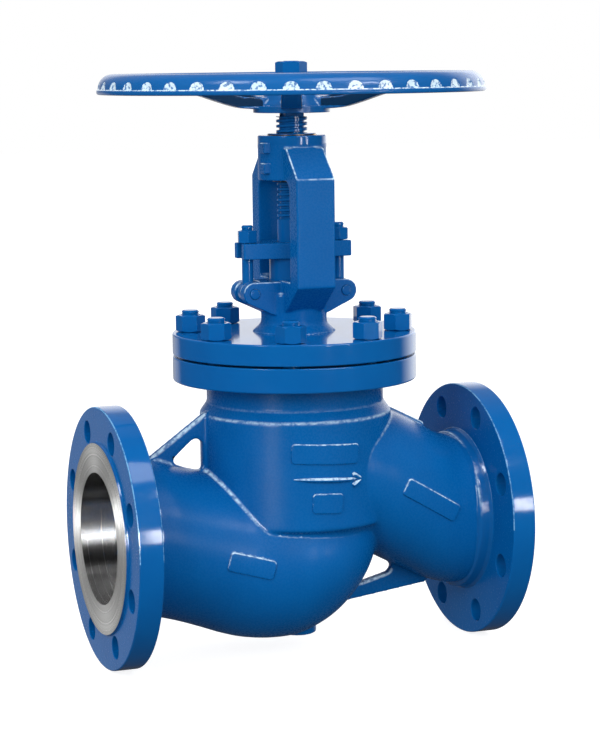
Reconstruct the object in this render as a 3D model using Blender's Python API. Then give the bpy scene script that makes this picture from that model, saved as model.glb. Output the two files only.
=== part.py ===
"""Flanged globe valve, nominal bore 150, with an outside screw and yoke and a rising handwheel.

Metres, +Z up. The origin is where the pipe axis (X) meets the stem axis (Z). Flow runs towards +X.
The valve is shut: the disc rests on its seat.
"""
import math

import bmesh
import bpy
from mathutils import Matrix

GAP = 0.0003                  # left between pieces that touch

# Pipe flanges, EN 1092-1 DN150 PN40, and face to face EN 558 series 1
BORE_R = 0.075
FACE_X = 0.240
FLANGE_R = 0.150
FLANGE_T = 0.028
RAISED_R = 0.109
RAISED_T = 0.003
BOLT_CIRCLE_R = 0.125
BOLT_HOLE_R = 0.013
PIPE_BOLTS = 8
HUB_R = 0.0945

# Body casting
NECK_R = 0.1025
BARREL_R = 0.111
BARREL_Z = 0.007
SHOULDER_Z = 0.141
COVER_R = 0.141
COVER_Z = (0.171, 0.199)
CHAMBER_R = 0.090
FLOOR_Z = 0.014
BRIDGE_Z = -0.006
DRAIN_R = 0.022
DRAIN_Z = -0.132
RIB_T = 0.012
STUD_HOLE_R = 0.0111

# Bonnet and yoke casting
GASKET_R = 0.108
BONNET_Z = (0.2013, 0.2255)
STUD_CIRCLE_R = 0.120
SPIGOT_R = 0.0885
SPIGOT_Z = 0.187
THROAT_R = 0.038
YOKE_BASE_Z = 0.286
WINDOW_TOP_Z = 0.400
CREASE_Z = 0.403
YOKE_TOP_Z = 0.451
YOKE_TOP_R = 0.0394
LEG_Y = (0.050, 0.074)
LEG_W = 0.046
LUG_X = 0.056
LUG_Z = 0.272
LUG_R = 0.013
LUG_Y = 0.024
SLOT_W = 0.0156
PIN_R = 0.006

# Bonnet studs and nuts
STUDS = 8
STUD_R = 0.0100
STUD_Z = (0.174, 0.2505)
BONNET_NUT = (0.030, 0.019, 0.0107)
BONNET_HOLE_R = 0.0110

# Stuffing box and gland
STEM_R = 0.018
STEM_BORE_R = 0.0184
BOX_R = 0.0284
BOX_FLOOR_Z = 0.236
RING_R = 0.0279
RING_H = 0.0085
RING_COUNT = 4
WASHER_H = 0.003
FOLLOWER_R = 0.0278
GLAND_Z = (0.311, 0.329)
GLAND_HALF_X = 0.066
EYE_SHANK_R = 0.0066
EYE_R = 0.011
EYE_SIDE = 0.0072
EYE_TOP = 0.0775
PIN_SIDE = 0.0255
GLAND_NUT = (0.021, 0.0140, EYE_SHANK_R + GAP + 0.0002)

# Backseat bush and yoke nut, each a bush with the stem's bore
BUSH_R = 0.0260
BUSH_Z = (0.1875, 0.2060)
YOKE_NUT_R = (0.0240, 0.0280)
YOKE_NUT_Z = (0.3985, 0.4466, 0.4530)

# Screw thread of the stem
PITCH = 0.006
THREAD_DEPTH = 0.0033
THREAD_Z = (0.3523, 0.4723)

# Disc and seat
SEAT_TOP_Z = 0.020
SEAT_R = 0.084
DISC_R = 0.082
DISC_H = 0.026
DISC_HUB_R = 0.040
DISC_HUB_Z = 0.0820
DISC_THREAD_R = 0.0320
DISC_NUT_Z = (0.0603, 0.0823, 0.0860)
HEAD_R = 0.025
HEAD_Z = (0.0420, 0.0590)

# Handwheel
WHEEL_R = 0.222
WHEEL_Z = (0.499, 0.522)
WHEEL_HUB_R = 0.044
WHEEL_HUB_Z = 0.477
WHEEL_TOP_Z = 0.513
SPOKES = 5
SPOKE_W = 0.0255
SPOKE_T = 0.013
SPOKE_START = math.radians(249.2)
SCALLOPS = 40
SQUARE = 0.022
NUT_TOP_Z = 0.535
TOP_SCREW_R = 0.0100
WHEEL_NUT_AF = 0.032

FULL = 2 * math.pi


def material(name, colour, roughness, metallic=0.0):
    found = bpy.data.materials.get(name)
    if found:
        return found
    mat = bpy.data.materials.new(name)
    mat.use_nodes = True
    shader = mat.node_tree.nodes["Principled BSDF"]
    shader.inputs["Base Color"].default_value = (*colour, 1.0)
    shader.inputs["Roughness"].default_value = roughness
    shader.inputs["Metallic"].default_value = metallic
    return mat


def enamel():
    return material("enamel", (0.006, 0.105, 0.376), 0.3)


def steel():
    return material("steel", (0.52, 0.51, 0.49), 0.32, 1.0)


def brass():
    return material("brass", (0.60, 0.40, 0.14), 0.35, 1.0)


def graphite():
    return material("graphite", (0.03, 0.03, 0.032), 0.7)


def place(name, mesh, look, location=(0, 0, 0)):
    """Link a mesh as a named object with its own material slot."""
    obj = bpy.data.objects.new(name, mesh)
    bpy.context.scene.collection.objects.link(obj)
    if not mesh.materials:
        mesh.materials.append(look)
    obj.location = location
    return obj


def finish_mesh(bm, name, sharp=35):
    bmesh.ops.remove_doubles(bm, verts=bm.verts, dist=1e-6)
    bmesh.ops.recalc_face_normals(bm, faces=bm.faces)
    mesh = bpy.data.meshes.new(name)
    bm.to_mesh(mesh)
    bm.free()
    mesh.shade_smooth()
    mesh.set_sharp_from_angle(angle=math.radians(sharp))
    return mesh


def ring(bm, points):
    return [bm.verts.new(p) for p in points]


def join_rings(bm, a, b):
    """Quads between two closed rings, or a fan where one of them is a single point."""
    count = max(len(a), len(b))
    for i in range(count):
        j = (i + 1) % count
        corners = [a[i % len(a)], a[j % len(a)], b[j % len(b)], b[i % len(b)]]
        unique = list(dict.fromkeys(corners))
        if len(unique) > 2:
            bm.faces.new(unique)


def turned(name, profile, segments=24, axis="Z"):
    """A closed solid turned about an axis from (radius, height) points.

    A profile that starts and ends on the axis is capped there; any other is a closed loop.
    """
    bm = bmesh.new()
    rings = []
    for radius, height in profile:
        if radius < 1e-7:
            rings.append(ring(bm, [(0, 0, height)]))
            continue
        turn = [FULL * i / segments for i in range(segments)]
        rings.append(ring(bm, [(radius * math.cos(t), radius * math.sin(t), height) for t in turn]))
    pairs = list(zip(rings, rings[1:]))
    if profile[0][0] > 1e-7:
        pairs.append((rings[-1], rings[0]))
    for a, b in pairs:
        join_rings(bm, a, b)
    if axis == "X":
        bm.transform(Matrix.Rotation(math.pi / 2, 4, "Y"))
    if axis == "Y":
        bm.transform(Matrix.Rotation(-math.pi / 2, 4, "X"))
    return finish_mesh(bm, name)


def lofted(name, sections):
    """A closed solid through rings that all have the same number of points."""
    bm = bmesh.new()
    rings = [ring(bm, points) for points in sections]
    for a, b in zip(rings, rings[1:]):
        join_rings(bm, a, b)
    bm.faces.new(rings[0])
    bm.faces.new(rings[-1])
    return finish_mesh(bm, name)


def prism(name, outline, axis, low, high):
    """An outline in the plane across an axis, extruded along it from low to high."""

    def put(u, v, w):
        return {"X": (w, u, v), "Y": (u, w, v), "Z": (u, v, w)}[axis]

    return lofted(name, [[put(u, v, w) for u, v in outline] for w in (low, high)])


def arc(centre, radius, start, end, steps):
    """Points on an arc, angles in degrees."""
    out = []
    for i in range(steps + 1):
        t = math.radians(start + (end - start) * i / steps)
        out.append((centre[0] + radius * math.cos(t), centre[1] + radius * math.sin(t)))
    return out


def super_ring(x, centre_z, half_y, half_z, power=2.0, segments=32):
    """A ring of points in the plane X = x, an ellipse or a squarer superellipse."""
    out = []
    for i in range(segments):
        t = FULL * i / segments
        c = math.copysign(abs(math.cos(t)) ** (2 / power), math.cos(t))
        s = math.copysign(abs(math.sin(t)) ** (2 / power), math.sin(t))
        out.append((x, half_y * c, centre_z + half_z * s))
    return out


def baked(obj):
    """Replace an object's mesh by its evaluated one and drop its modifiers."""
    graph = bpy.context.evaluated_depsgraph_get()
    mesh = bpy.data.meshes.new_from_object(obj.evaluated_get(graph))
    old = obj.data
    obj.modifiers.clear()
    obj.data = mesh
    bpy.data.meshes.remove(old)
    return obj


def combine(obj, mesh, operation="DIFFERENCE"):
    """One Boolean step with a mesh, which is used up."""
    tool = bpy.data.objects.new("tool", mesh)
    bpy.context.scene.collection.objects.link(tool)
    step = obj.modifiers.new("step", "BOOLEAN")
    step.operation = operation
    step.object = tool
    baked(obj)
    bpy.data.objects.remove(tool)
    bpy.data.meshes.remove(mesh)
    return obj


def clean(obj, sharp=35):
    """Merge the slivers that Booleans leave, and shade the solid."""
    bm = bmesh.new()
    bm.from_mesh(obj.data)
    bmesh.ops.remove_doubles(bm, verts=bm.verts, dist=2e-6)
    bmesh.ops.dissolve_degenerate(bm, edges=bm.edges, dist=1e-6)
    bmesh.ops.triangulate(bm, faces=bm.faces)
    bm.to_mesh(obj.data)
    bm.free()
    obj.data.shade_smooth()
    obj.data.set_sharp_from_angle(angle=math.radians(sharp))
    return obj


# ---------------------------------------------------------------- body

def inlet_and_bowl():
    """The inlet neck sweeps down from its flange into the bowl under the seat."""
    sections = [(-0.212, 0.000, 0.090, 0.090), (-0.190, -0.002, 0.090, 0.090),
                (-0.172, -0.005, 0.091, 0.091), (-0.150, -0.012, 0.0915, 0.0905),
                (-0.125, -0.020, 0.092, 0.0915), (-0.100, -0.0275, 0.0935, 0.0935),
                (-0.075, -0.034, 0.097, 0.094), (-0.045, -0.036, 0.105, 0.0955),
                (-0.015, -0.033, 0.109, 0.097), (0.015, -0.028, 0.105, 0.091),
                (0.040, -0.022, 0.095, 0.080), (0.062, -0.016, 0.078, 0.063),
                (0.078, -0.012, 0.056, 0.043), (0.088, -0.010, 0.030, 0.022)]
    return lofted("bowl", [super_ring(*s, segments=36) for s in sections])


def outlet_neck():
    """The outlet neck slopes down from the upper chamber to its flange."""
    sections = [(0.020, 0.070, 0.080, 0.066), (0.050, 0.064, 0.100, 0.078), (0.080, 0.051, 0.101, 0.088),
                (0.105, 0.040, 0.099, 0.092), (0.130, 0.028, 0.096, 0.093), (0.155, 0.0145, 0.093, 0.093),
                (0.180, 0.004, 0.0905, 0.0915), (0.212, 0.000, 0.090, 0.090)]
    return lofted("outlet", [super_ring(*s, power=2.3, segments=36) for s in sections])


def barrel():
    edge = 0.006
    profile = [(0.0, -0.030), (0.075, -0.030), (BARREL_R - edge, BARREL_Z)]
    profile += [(BARREL_R - edge + r, BARREL_Z + edge + z) for r, z in arc((0, 0), edge, -70, 0, 3)]
    profile += arc((BARREL_R - 0.009, SHOULDER_Z - 0.009), 0.009, 0, 80, 3)
    profile += [(NECK_R, SHOULDER_Z + 0.004), (NECK_R, COVER_Z[0] + 0.004), (0.0, COVER_Z[0] + 0.004)]
    return turned("barrel", profile, 48)


def rib_inlet():
    """Web from the shoulder down to the inlet flange, with a rounded window."""
    outline = [(-0.090, 0.139), (-0.1120, 0.1365), (-0.212, 0.0655), (-0.212, 0.040), (-0.090, 0.040)]
    web = prism("rib", outline, "Y", -RIB_T / 2, RIB_T / 2)
    window = arc((-0.1235, 0.0985), 0.009, 20, 135, 4)
    window += arc((-0.1450, 0.0840), 0.0055, 135, 250, 4)
    window += arc((-0.1220, 0.0765), 0.0070, 250, 360, 4)
    return web, prism("window", window, "Y", -0.030, 0.030)


def rib_outlet():
    """Web under the outlet neck, from the bowl to the neck's underside, with a window."""
    outline = [(0.020, -0.060), (0.035, -0.1040), (0.059, -0.0995), (0.163, -0.0860), (0.170, -0.060)]
    web = prism("rib", outline, "Y", -RIB_T / 2, RIB_T / 2)
    window = arc((0.1105, -0.0620), 0.0085, -75, 60, 4)
    window += [(0.0970, -0.0400), (0.0760, -0.0350), (0.0600, -0.0810), (0.0790, -0.0790)]
    return web, prism("window", window, "Y", -0.030, 0.030)


def rib_top():
    """Wide web along the top of the outlet neck."""
    outline = [(0.080, 0.145), (0.098, 0.139), (0.158, 0.1095), (0.158, 0.080), (0.080, 0.080)]
    return prism("rib", outline, "Y", -0.0125, 0.0125)


def pipe_flange(side):
    """One pipe flange with its hub ring, turned about X."""
    back = FACE_X - RAISED_T - FLANGE_T
    profile = [(0.0, back - 0.016), (HUB_R - 0.006, back - 0.016), (HUB_R, back - 0.008), (HUB_R, back),
               (FLANGE_R, back), (FLANGE_R, back + FLANGE_T), (RAISED_R, back + FLANGE_T),
               (RAISED_R, FACE_X), (0.0, FACE_X)]
    mesh = turned("flange", profile, 40, "X")
    if side < 0:
        mesh.transform(Matrix.Rotation(math.pi, 4, "Z"))
    return mesh


def cast_body():
    """The cast necks, bowl, barrel, webs and bottom boss, joined."""
    body = place("valve_body", inlet_and_bowl(), enamel())
    combine(body, outlet_neck(), "UNION")
    combine(body, barrel(), "UNION")
    combine(body, rib_top(), "UNION")
    for web, window in (rib_inlet(), rib_outlet()):
        combine(body, web, "UNION")
        combine(body, window)
    drain = [(0, DRAIN_Z), (DRAIN_R - 0.002, DRAIN_Z), (DRAIN_R, DRAIN_Z + 0.002), (DRAIN_R, -0.090),
             (0, -0.090)]
    combine(body, turned("drain", drain, 16), "UNION")
    return body


def inlet_passage():
    """The waterway from the inlet port down into the bowl."""
    sections = [(-0.260, 0.000, 0.075, 0.075), (-0.205, 0.000, 0.075, 0.075), (-0.170, -0.006, 0.075, 0.073),
                (-0.140, -0.018, 0.076, 0.068), (-0.120, -0.032, 0.078, 0.062), (-0.105, -0.046, 0.080, 0.058),
                (-0.090, -0.062, 0.083, 0.052), (-0.060, -0.062, 0.089, 0.053), (-0.020, -0.061, 0.091, 0.052),
                (0.020, -0.057, 0.088, 0.048), (0.045, -0.048, 0.074, 0.038), (0.062, -0.040, 0.050, 0.024)]
    return lofted("inlet_passage", [super_ring(*s, segments=24) for s in sections])


def outlet_passage():
    """The waterway from the chamber over the seat to the outlet port."""
    sections = [(0.030, 0.072, 0.070, 0.045), (0.070, 0.070, 0.080, 0.050), (0.092, 0.061, 0.083, 0.056),
                (0.110, 0.044, 0.082, 0.064), (0.135, 0.023, 0.079, 0.071), (0.165, 0.007, 0.076, 0.074),
                (0.205, 0.000, 0.075, 0.075), (0.260, 0.000, 0.075, 0.075)]
    return lofted("outlet_passage", [super_ring(*s, segments=24) for s in sections])


def seat_opening():
    return turned("seat_opening", [(0, -0.060), (0.060, -0.060), (SEAT_R + GAP, BRIDGE_Z),
                                   (SEAT_R + GAP, FLOOR_Z + 0.002), (0, FLOOR_Z + 0.002)])


def chamber():
    return turned("chamber", [(0, FLOOR_Z), (CHAMBER_R, FLOOR_Z), (CHAMBER_R, 0.230), (0, 0.230)], 40)


def bolt_holes(radius, circle, count, low, high, axis, segments=10):
    """Cutters for a ring of holes that straddle the centre lines."""
    out = []
    for i in range(count):
        t = FULL * (i + 0.5) / count
        mesh = turned("hole", [(0, low), (radius, low), (radius, high), (0, high)], segments, axis)
        a, b = circle * math.cos(t), circle * math.sin(t)
        mesh.transform(Matrix.Translation((0, a, b) if axis == "X" else (a, b, 0)))
        out.append(mesh)
    return out


def valve_body():
    body = cast_body()
    remesh = body.modifiers.new("grow", "REMESH")
    remesh.mode = "VOXEL"
    remesh.voxel_size = 0.0042
    smooth = body.modifiers.new("fillet", "SMOOTH")
    smooth.factor = 0.5
    smooth.iterations = 4
    thin = body.modifiers.new("thin", "DECIMATE")
    thin.ratio = 0.022
    baked(body)
    cover = turned("cover", [(0, COVER_Z[0]), (COVER_R, COVER_Z[0]), (COVER_R, COVER_Z[1]),
                             (0, COVER_Z[1])], 40)
    combine(body, cover, "UNION")
    for side in (-1, 1):
        combine(body, pipe_flange(side), "UNION")
    for cutter in (inlet_passage(), seat_opening(), chamber(), outlet_passage()):
        combine(body, cutter)
    for side in (-1, 1):
        low, high = sorted((side * 0.200, side * 0.245))
        for cutter in bolt_holes(BOLT_HOLE_R, BOLT_CIRCLE_R, PIPE_BOLTS, low, high, "X"):
            combine(body, cutter)
    low, high = COVER_Z[0] - 0.01, COVER_Z[1] + 0.01
    for cutter in bolt_holes(STUD_HOLE_R, STUD_CIRCLE_R, STUDS, low, high, "Z", 8):
        combine(body, cutter)
    return clean(body)


# ---------------------------------------------------------------- bonnet and yoke

def yoke_frame():
    """The two legs, seen along X: foot, outer faces, sloped shoulders."""
    foot_y, foot_z = 0.035, 0.2515
    right = [(foot_y, foot_z), (LEG_Y[1], 0.2810), (LEG_Y[1], CREASE_Z), (0.0400, 0.4370)]
    left = [(-y, z) for y, z in reversed(right)]
    return prism("yoke", right + left, "X", -LEG_W / 2, LEG_W / 2)


def yoke_window():
    low = [(LEG_Y[0], YOKE_BASE_Z)]
    top = arc((LEG_Y[0] - 0.012, WINDOW_TOP_Z - 0.012), 0.012, 0, 90, 3)
    right = low + top
    left = [(-y, z) for y, z in reversed(right)]
    return prism("window", right + left, "X", -0.060, 0.060)


def lug_block():
    """Both lugs in one bar across the yoke's foot, seen along Y."""
    right = [(0.0330, 0.2470)] + arc((LUG_X, LUG_Z), LUG_R, -62, 90, 6)
    left = [(-x, z) for x, z in reversed(right)]
    return prism("lugs", right + left, "Y", -LUG_Y, LUG_Y)


def bonnet():
    base = turned("bonnet", [(0, SPIGOT_Z), (SPIGOT_R, SPIGOT_Z), (SPIGOT_R, BONNET_Z[0]),
                             (COVER_R, BONNET_Z[0]), (COVER_R, BONNET_Z[1]), (THROAT_R + 0.010, BONNET_Z[1]),
                             (THROAT_R + 0.002, BONNET_Z[1] + 0.004), (THROAT_R, BONNET_Z[1] + 0.010),
                             (THROAT_R, 0.270), (0, 0.270)], 40)
    piece = place("bonnet", base, enamel())
    combine(piece, yoke_frame(), "UNION")
    combine(piece, lug_block(), "UNION")
    combine(piece, yoke_window())
    top = turned("top", [(0, WINDOW_TOP_Z), (YOKE_TOP_R, WINDOW_TOP_Z), (YOKE_TOP_R, YOKE_TOP_Z - 0.0015),
                         (YOKE_TOP_R - 0.0015, YOKE_TOP_Z), (0, YOKE_TOP_Z)])
    combine(piece, top, "UNION")
    for side in (-1, 1):
        low, high = sorted((side * 0.0445, side * 0.080))
        half = SLOT_W / 2
        corners = [(low, -half), (high, -half), (high, half), (low, half)]
        combine(piece, prism("slot", corners, "Z", 0.235, 0.300))
        pin = turned("pin_hole", [(0, -0.05), (PIN_R + GAP, -0.05), (PIN_R + GAP, 0.05), (0, 0.05)], 12, "Y")
        pin.transform(Matrix.Translation((side * LUG_X, 0, LUG_Z)))
        combine(piece, pin)
    bush_r, bush_top = BUSH_R + GAP, BUSH_Z[1] + GAP
    bores = turned("bores", [(0, 0.17), (bush_r, 0.17), (bush_r, bush_top), (STEM_BORE_R, bush_top),
                             (STEM_BORE_R, BOX_FLOOR_Z), (BOX_R, BOX_FLOOR_Z), (BOX_R, 0.30), (0, 0.30)])
    combine(piece, bores)
    narrow, wide = (radius + 0.0004 for radius in YOKE_NUT_R)
    ledge = YOKE_NUT_Z[1] - GAP
    nut_seat = turned("nut_seat", [(0, 0.39), (narrow, 0.39), (narrow, ledge), (wide, ledge), (wide, 0.47),
                                   (0, 0.47)])
    combine(piece, nut_seat)
    for cutter in bolt_holes(BONNET_HOLE_R, STUD_CIRCLE_R, STUDS, 0.190, 0.240, "Z"):
        combine(piece, cutter)
    return clean(piece)


# ---------------------------------------------------------------- small turned pieces

def nut_mesh(name, across_flats, height, hole_r, phase=0.0, segments=12):
    """A hexagon nut with both ends chamfered round, standing on z = 0."""
    bm = bmesh.new()
    top_r = across_flats / 2 * 0.97
    chamfer = height * 0.12
    outer = []
    for z, inset in ((0, True), (chamfer, False), (height - chamfer, False), (height, True)):
        points = []
        for i in range(segments):
            t = phase + FULL * i / segments
            corner = FULL / 6
            off = (t - phase + corner / 2) % corner - corner / 2
            reach = across_flats / 2 / math.cos(corner / 2 - abs(off))
            radius = top_r if inset else reach
            points.append((radius * math.cos(t), radius * math.sin(t), z))
        outer.append(ring(bm, points))
    turn = [phase + FULL * i / segments for i in range(segments)]
    inner = [ring(bm, [(hole_r * math.cos(t), hole_r * math.sin(t), z) for t in turn]) for z in (height, 0)]
    loops = outer + inner
    for a, b in zip(loops, loops[1:] + loops[:1]):
        join_rings(bm, a, b)
    return finish_mesh(bm, name, 25)


def stud_mesh():
    low, high = STUD_Z
    tip = 0.0015
    return turned("stud", [(0, low), (STUD_R, low), (STUD_R, high - tip), (STUD_R - tip, high), (0, high)], 12)


def bonnet_fasteners():
    """Eight studs screwed into the body, each with its nut on the bonnet."""
    studs = stud_mesh()
    nuts = nut_mesh("bonnet_nut", *BONNET_NUT)
    for i in range(STUDS):
        t = FULL * (i + 0.5) / STUDS
        x, y = STUD_CIRCLE_R * math.cos(t), STUD_CIRCLE_R * math.sin(t)
        place(f"bonnet_stud_{i + 1}", studs, steel(), (x, y, 0))
        nut = place(f"bonnet_nut_{i + 1}", nuts, enamel(), (x, y, BONNET_Z[1] + GAP))
        nut.rotation_euler.z = t + 0.35 * (i % 3)


def gasket():
    inner = SPIGOT_R + 0.0005
    return place("bonnet_gasket", turned("bonnet_gasket", [
        (inner, COVER_Z[1] + GAP), (GASKET_R, COVER_Z[1] + GAP),
        (GASKET_R, BONNET_Z[0] - GAP), (inner, BONNET_Z[0] - GAP)], 40), graphite())


def seat_ring():
    return place("seat_ring", turned("seat_ring", [
        (BORE_R, BRIDGE_Z), (SEAT_R, BRIDGE_Z), (SEAT_R, SEAT_TOP_Z - 0.0015), (SEAT_R - 0.0015, SEAT_TOP_Z),
        (BORE_R + 0.003, SEAT_TOP_Z), (BORE_R, SEAT_TOP_Z - 0.003)]), steel())


def disc():
    low = SEAT_TOP_Z + GAP
    top = low + DISC_H
    thread_z = DISC_NUT_Z[0] - GAP
    pocket_r, pocket_z = HEAD_R + 0.0006, HEAD_Z[0] - GAP
    profile = [(0, low - 0.004), (BORE_R - 0.006, low - 0.004), (BORE_R - 0.002, low), (DISC_R - 0.002, low),
               (DISC_R, low + 0.002), (DISC_R, top - 0.004), (DISC_R - 0.004, top), (0.052, top + 0.003),
               (DISC_HUB_R, top + 0.014), (DISC_HUB_R, DISC_HUB_Z), (DISC_THREAD_R, DISC_HUB_Z),
               (DISC_THREAD_R, thread_z), (pocket_r, thread_z), (pocket_r, pocket_z), (0, pocket_z)]
    return place("disc", turned("disc", profile), steel())


def disc_nut():
    """Ring screwed into the disc's hub, which keeps the stem's head in it."""
    low, collar, high = DISC_NUT_Z
    shank_r, collar_r = DISC_THREAD_R - GAP, 0.0360
    profile = [(STEM_BORE_R, low), (shank_r, low), (shank_r, collar), (collar_r, collar), (collar_r, high),
               (STEM_BORE_R, high)]
    return place("disc_nut", turned("disc_nut", profile), steel())


def backseat_bush():
    low, high = BUSH_Z
    profile = [(STEM_BORE_R, low), (BUSH_R, low), (BUSH_R, high), (STEM_BORE_R, high)]
    return place("backseat_bush", turned("backseat_bush", profile), steel())


def packing():
    low = BOX_FLOOR_Z + GAP
    washer = [(STEM_BORE_R, low), (RING_R, low), (RING_R, low + WASHER_H), (STEM_BORE_R, low + WASHER_H)]
    place("packing_washer", turned("packing_washer", washer, 24), steel())
    low += WASHER_H + GAP
    section = [(STEM_BORE_R, 0), (RING_R, 0), (RING_R, RING_H), (STEM_BORE_R, RING_H)]
    mesh = turned("packing_ring", section, 24)
    for i in range(RING_COUNT):
        place(f"packing_ring_{i + 1}", mesh, graphite(), (0, 0, low + i * (RING_H + GAP)))
    return low + RING_COUNT * (RING_H + GAP)


def gland(nose_z):
    """The follower bush that presses the packing, and the two-bolt flange on top of it."""
    lip_z = GLAND_Z[0] - GAP
    follower = [(STEM_BORE_R, nose_z), (FOLLOWER_R, nose_z), (FOLLOWER_R, lip_z), (STEM_BORE_R, lip_z)]
    place("gland_follower", turned("gland_follower", follower), enamel())
    half, slot = GLAND_HALF_X, 0.0075
    side = [(half - 0.002, -0.017), (half, -0.015), (half, -slot)]
    side += arc((LUG_X, 0), slot, 270, 90, 4)
    side += [(half, slot), (half, 0.015), (half - 0.002, 0.017), (0.040, 0.020)]
    side += arc((0, 0), 0.033, 55, 125, 6)
    outline = side + [(-x, -y) for x, y in side]
    plate = place("gland_flange", prism("gland_flange", outline, "Z", *GLAND_Z), enamel())
    combine(plate, turned("bore", [(0, 0.30), (STEM_BORE_R, 0.30), (STEM_BORE_R, 0.34), (0, 0.34)]))
    clean(plate)


def eye_bolt_mesh():
    """A swing bolt: an eye about Y with a shank standing up from it."""
    hole = PIN_R + GAP
    eye = turned("eye", [(hole, -EYE_SIDE), (EYE_R, -EYE_SIDE), (EYE_R, EYE_SIDE), (hole, EYE_SIDE)], 16, "Y")
    foot, tip = 0.0080, 0.0015
    shank = turned("shank", [(0, foot), (EYE_SHANK_R, foot), (EYE_SHANK_R, EYE_TOP - tip),
                             (EYE_SHANK_R - tip, EYE_TOP), (0, EYE_TOP)], 12)
    tool = place("eye_bolt", eye, steel())
    combine(tool, shank, "UNION")
    clean(tool)
    mesh = tool.data
    bpy.data.objects.remove(tool)
    return mesh


def gland_fasteners():
    bolt = eye_bolt_mesh()
    end_r, side_y = PIN_R - 0.0012, PIN_SIDE - 0.0010
    pin = turned("hinge_pin", [(0, -PIN_SIDE), (end_r, -PIN_SIDE), (PIN_R, -side_y), (PIN_R, side_y),
                               (end_r, PIN_SIDE), (0, PIN_SIDE)], 12, "Y")
    nut = nut_mesh("gland_nut", *GLAND_NUT, phase=0.3)
    for side, word in ((-1, "left"), (1, "right")):
        place(f"eye_bolt_{word}", bolt, steel(), (side * LUG_X, 0, LUG_Z))
        place(f"hinge_pin_{word}", pin, steel(), (side * LUG_X, 0, LUG_Z))
        place(f"gland_nut_{word}", nut, enamel(), (side * LUG_X, 0, GLAND_Z[1] + GAP))


def yoke_nut():
    """Bronze nut of the stem, held in the yoke's top by its shoulder."""
    narrow, wide = YOKE_NUT_R
    low, ledge, high = YOKE_NUT_Z
    profile = [(STEM_BORE_R, low), (narrow, low), (narrow, ledge), (wide, ledge), (wide, high),
               (STEM_BORE_R, high)]
    return place("yoke_nut", turned("yoke_nut", profile), brass())


# ---------------------------------------------------------------- stem

def thread_rows(segments):
    """Rows of points that follow the helix; each row holds one turn's worth of the profile at a time."""
    z0 = THREAD_Z[0] - PITCH
    turns = round((THREAD_Z[1] - THREAD_Z[0]) / PITCH) + 2
    crest, root = STEM_R, STEM_R - THREAD_DEPTH
    shape = [(0.0, root), (0.30, root), (0.42, crest), (0.88, crest)]
    rows = []
    for turn in range(turns):
        for share, radius in shape:
            row = []
            for i in range(segments):
                t = FULL * i / segments
                z = z0 + PITCH * (turn + share + i / segments)
                row.append((radius * math.cos(t), radius * math.sin(t), z))
            rows.append(row)
    return rows, len(shape)


def thread_mesh(segments=10):
    """A length of thread, closed at each end by a fan to a point on the axis."""
    rows, step = thread_rows(segments)
    bm = bmesh.new()
    grid = [ring(bm, row) for row in rows]
    last = len(grid) - step - 1
    for k in range(last):
        for i in range(segments):
            if i + 1 < segments:
                bm.faces.new((grid[k][i], grid[k][i + 1], grid[k + 1][i + 1], grid[k + 1][i]))
            else:
                bm.faces.new((grid[k][i], grid[k + step][0], grid[k + 1 + step][0], grid[k + 1][i]))
    for k, tip_z in ((0, rows[0][0][2] - 0.02), (last, rows[-1][-1][2] + 0.02)):
        rim = grid[k] + [grid[k + j][0] for j in range(step, 0, -1)]
        join_rings(bm, rim, ring(bm, [(0, 0, tip_z)]))
    return finish_mesh(bm, "thread")


def stem():
    """Head, plain shank, screwed length, square and top screw."""
    piece = place("stem", thread_mesh(), steel())
    trim = turned("trim", [(0, THREAD_Z[0]), (0.03, THREAD_Z[0]), (0.03, THREAD_Z[1]), (0, THREAD_Z[1])], 16)
    combine(piece, trim, "INTERSECT")
    foot, head = HEAD_Z
    top = THREAD_Z[0] + 0.001
    shank = [(0, foot), (HEAD_R, foot), (HEAD_R, head), (STEM_R, head), (STEM_R, top),
             (TOP_SCREW_R, top + 0.001), (0, top + 0.001)]
    combine(piece, turned("shank", shank), "UNION")
    half = SQUARE / 2
    corners = [(half, half), (-half, half), (-half, -half), (half, -half)]
    square = prism("square", corners, "Z", THREAD_Z[1] - 0.001, WHEEL_TOP_Z - 0.002)
    combine(piece, square, "UNION")
    low, tip = WHEEL_TOP_Z - 0.013, 0.0015
    screw = turned("screw", [(0, low), (TOP_SCREW_R, low), (TOP_SCREW_R, NUT_TOP_Z - tip),
                             (TOP_SCREW_R - 0.0012, NUT_TOP_Z), (0, NUT_TOP_Z)], 16)
    combine(piece, screw, "UNION")
    return clean(piece)


# ---------------------------------------------------------------- handwheel

def rim_mesh():
    """The rim, with finger scallops pressed into its outer face."""
    low, high = WHEEL_Z
    per = 2
    count = SCALLOPS * per
    bm = bmesh.new()
    inner_r = WHEEL_R - 0.024
    profile = [(inner_r, low + 0.004), (inner_r + 0.003, low), (WHEEL_R - 0.001, low), (WHEEL_R, low + 0.001),
               (WHEEL_R, low + 0.005), (WHEEL_R, low + 0.0135), (WHEEL_R - 0.004, high - 0.003),
               (WHEEL_R - 0.009, high), (inner_r + 0.003, high), (inner_r, high - 0.004)]
    rings = []
    for k, (radius, z) in enumerate(profile):
        points = []
        for i in range(count):
            t = FULL * i / count
            dent = 0.0022 if k == 5 and i % per else 0.0
            points.append(((radius - dent) * math.cos(t), (radius - dent) * math.sin(t), z))
        rings.append(ring(bm, points))
    for a, b in zip(rings, rings[1:] + rings[:1]):
        join_rings(bm, a, b)
    return finish_mesh(bm, "rim", 30)


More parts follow.
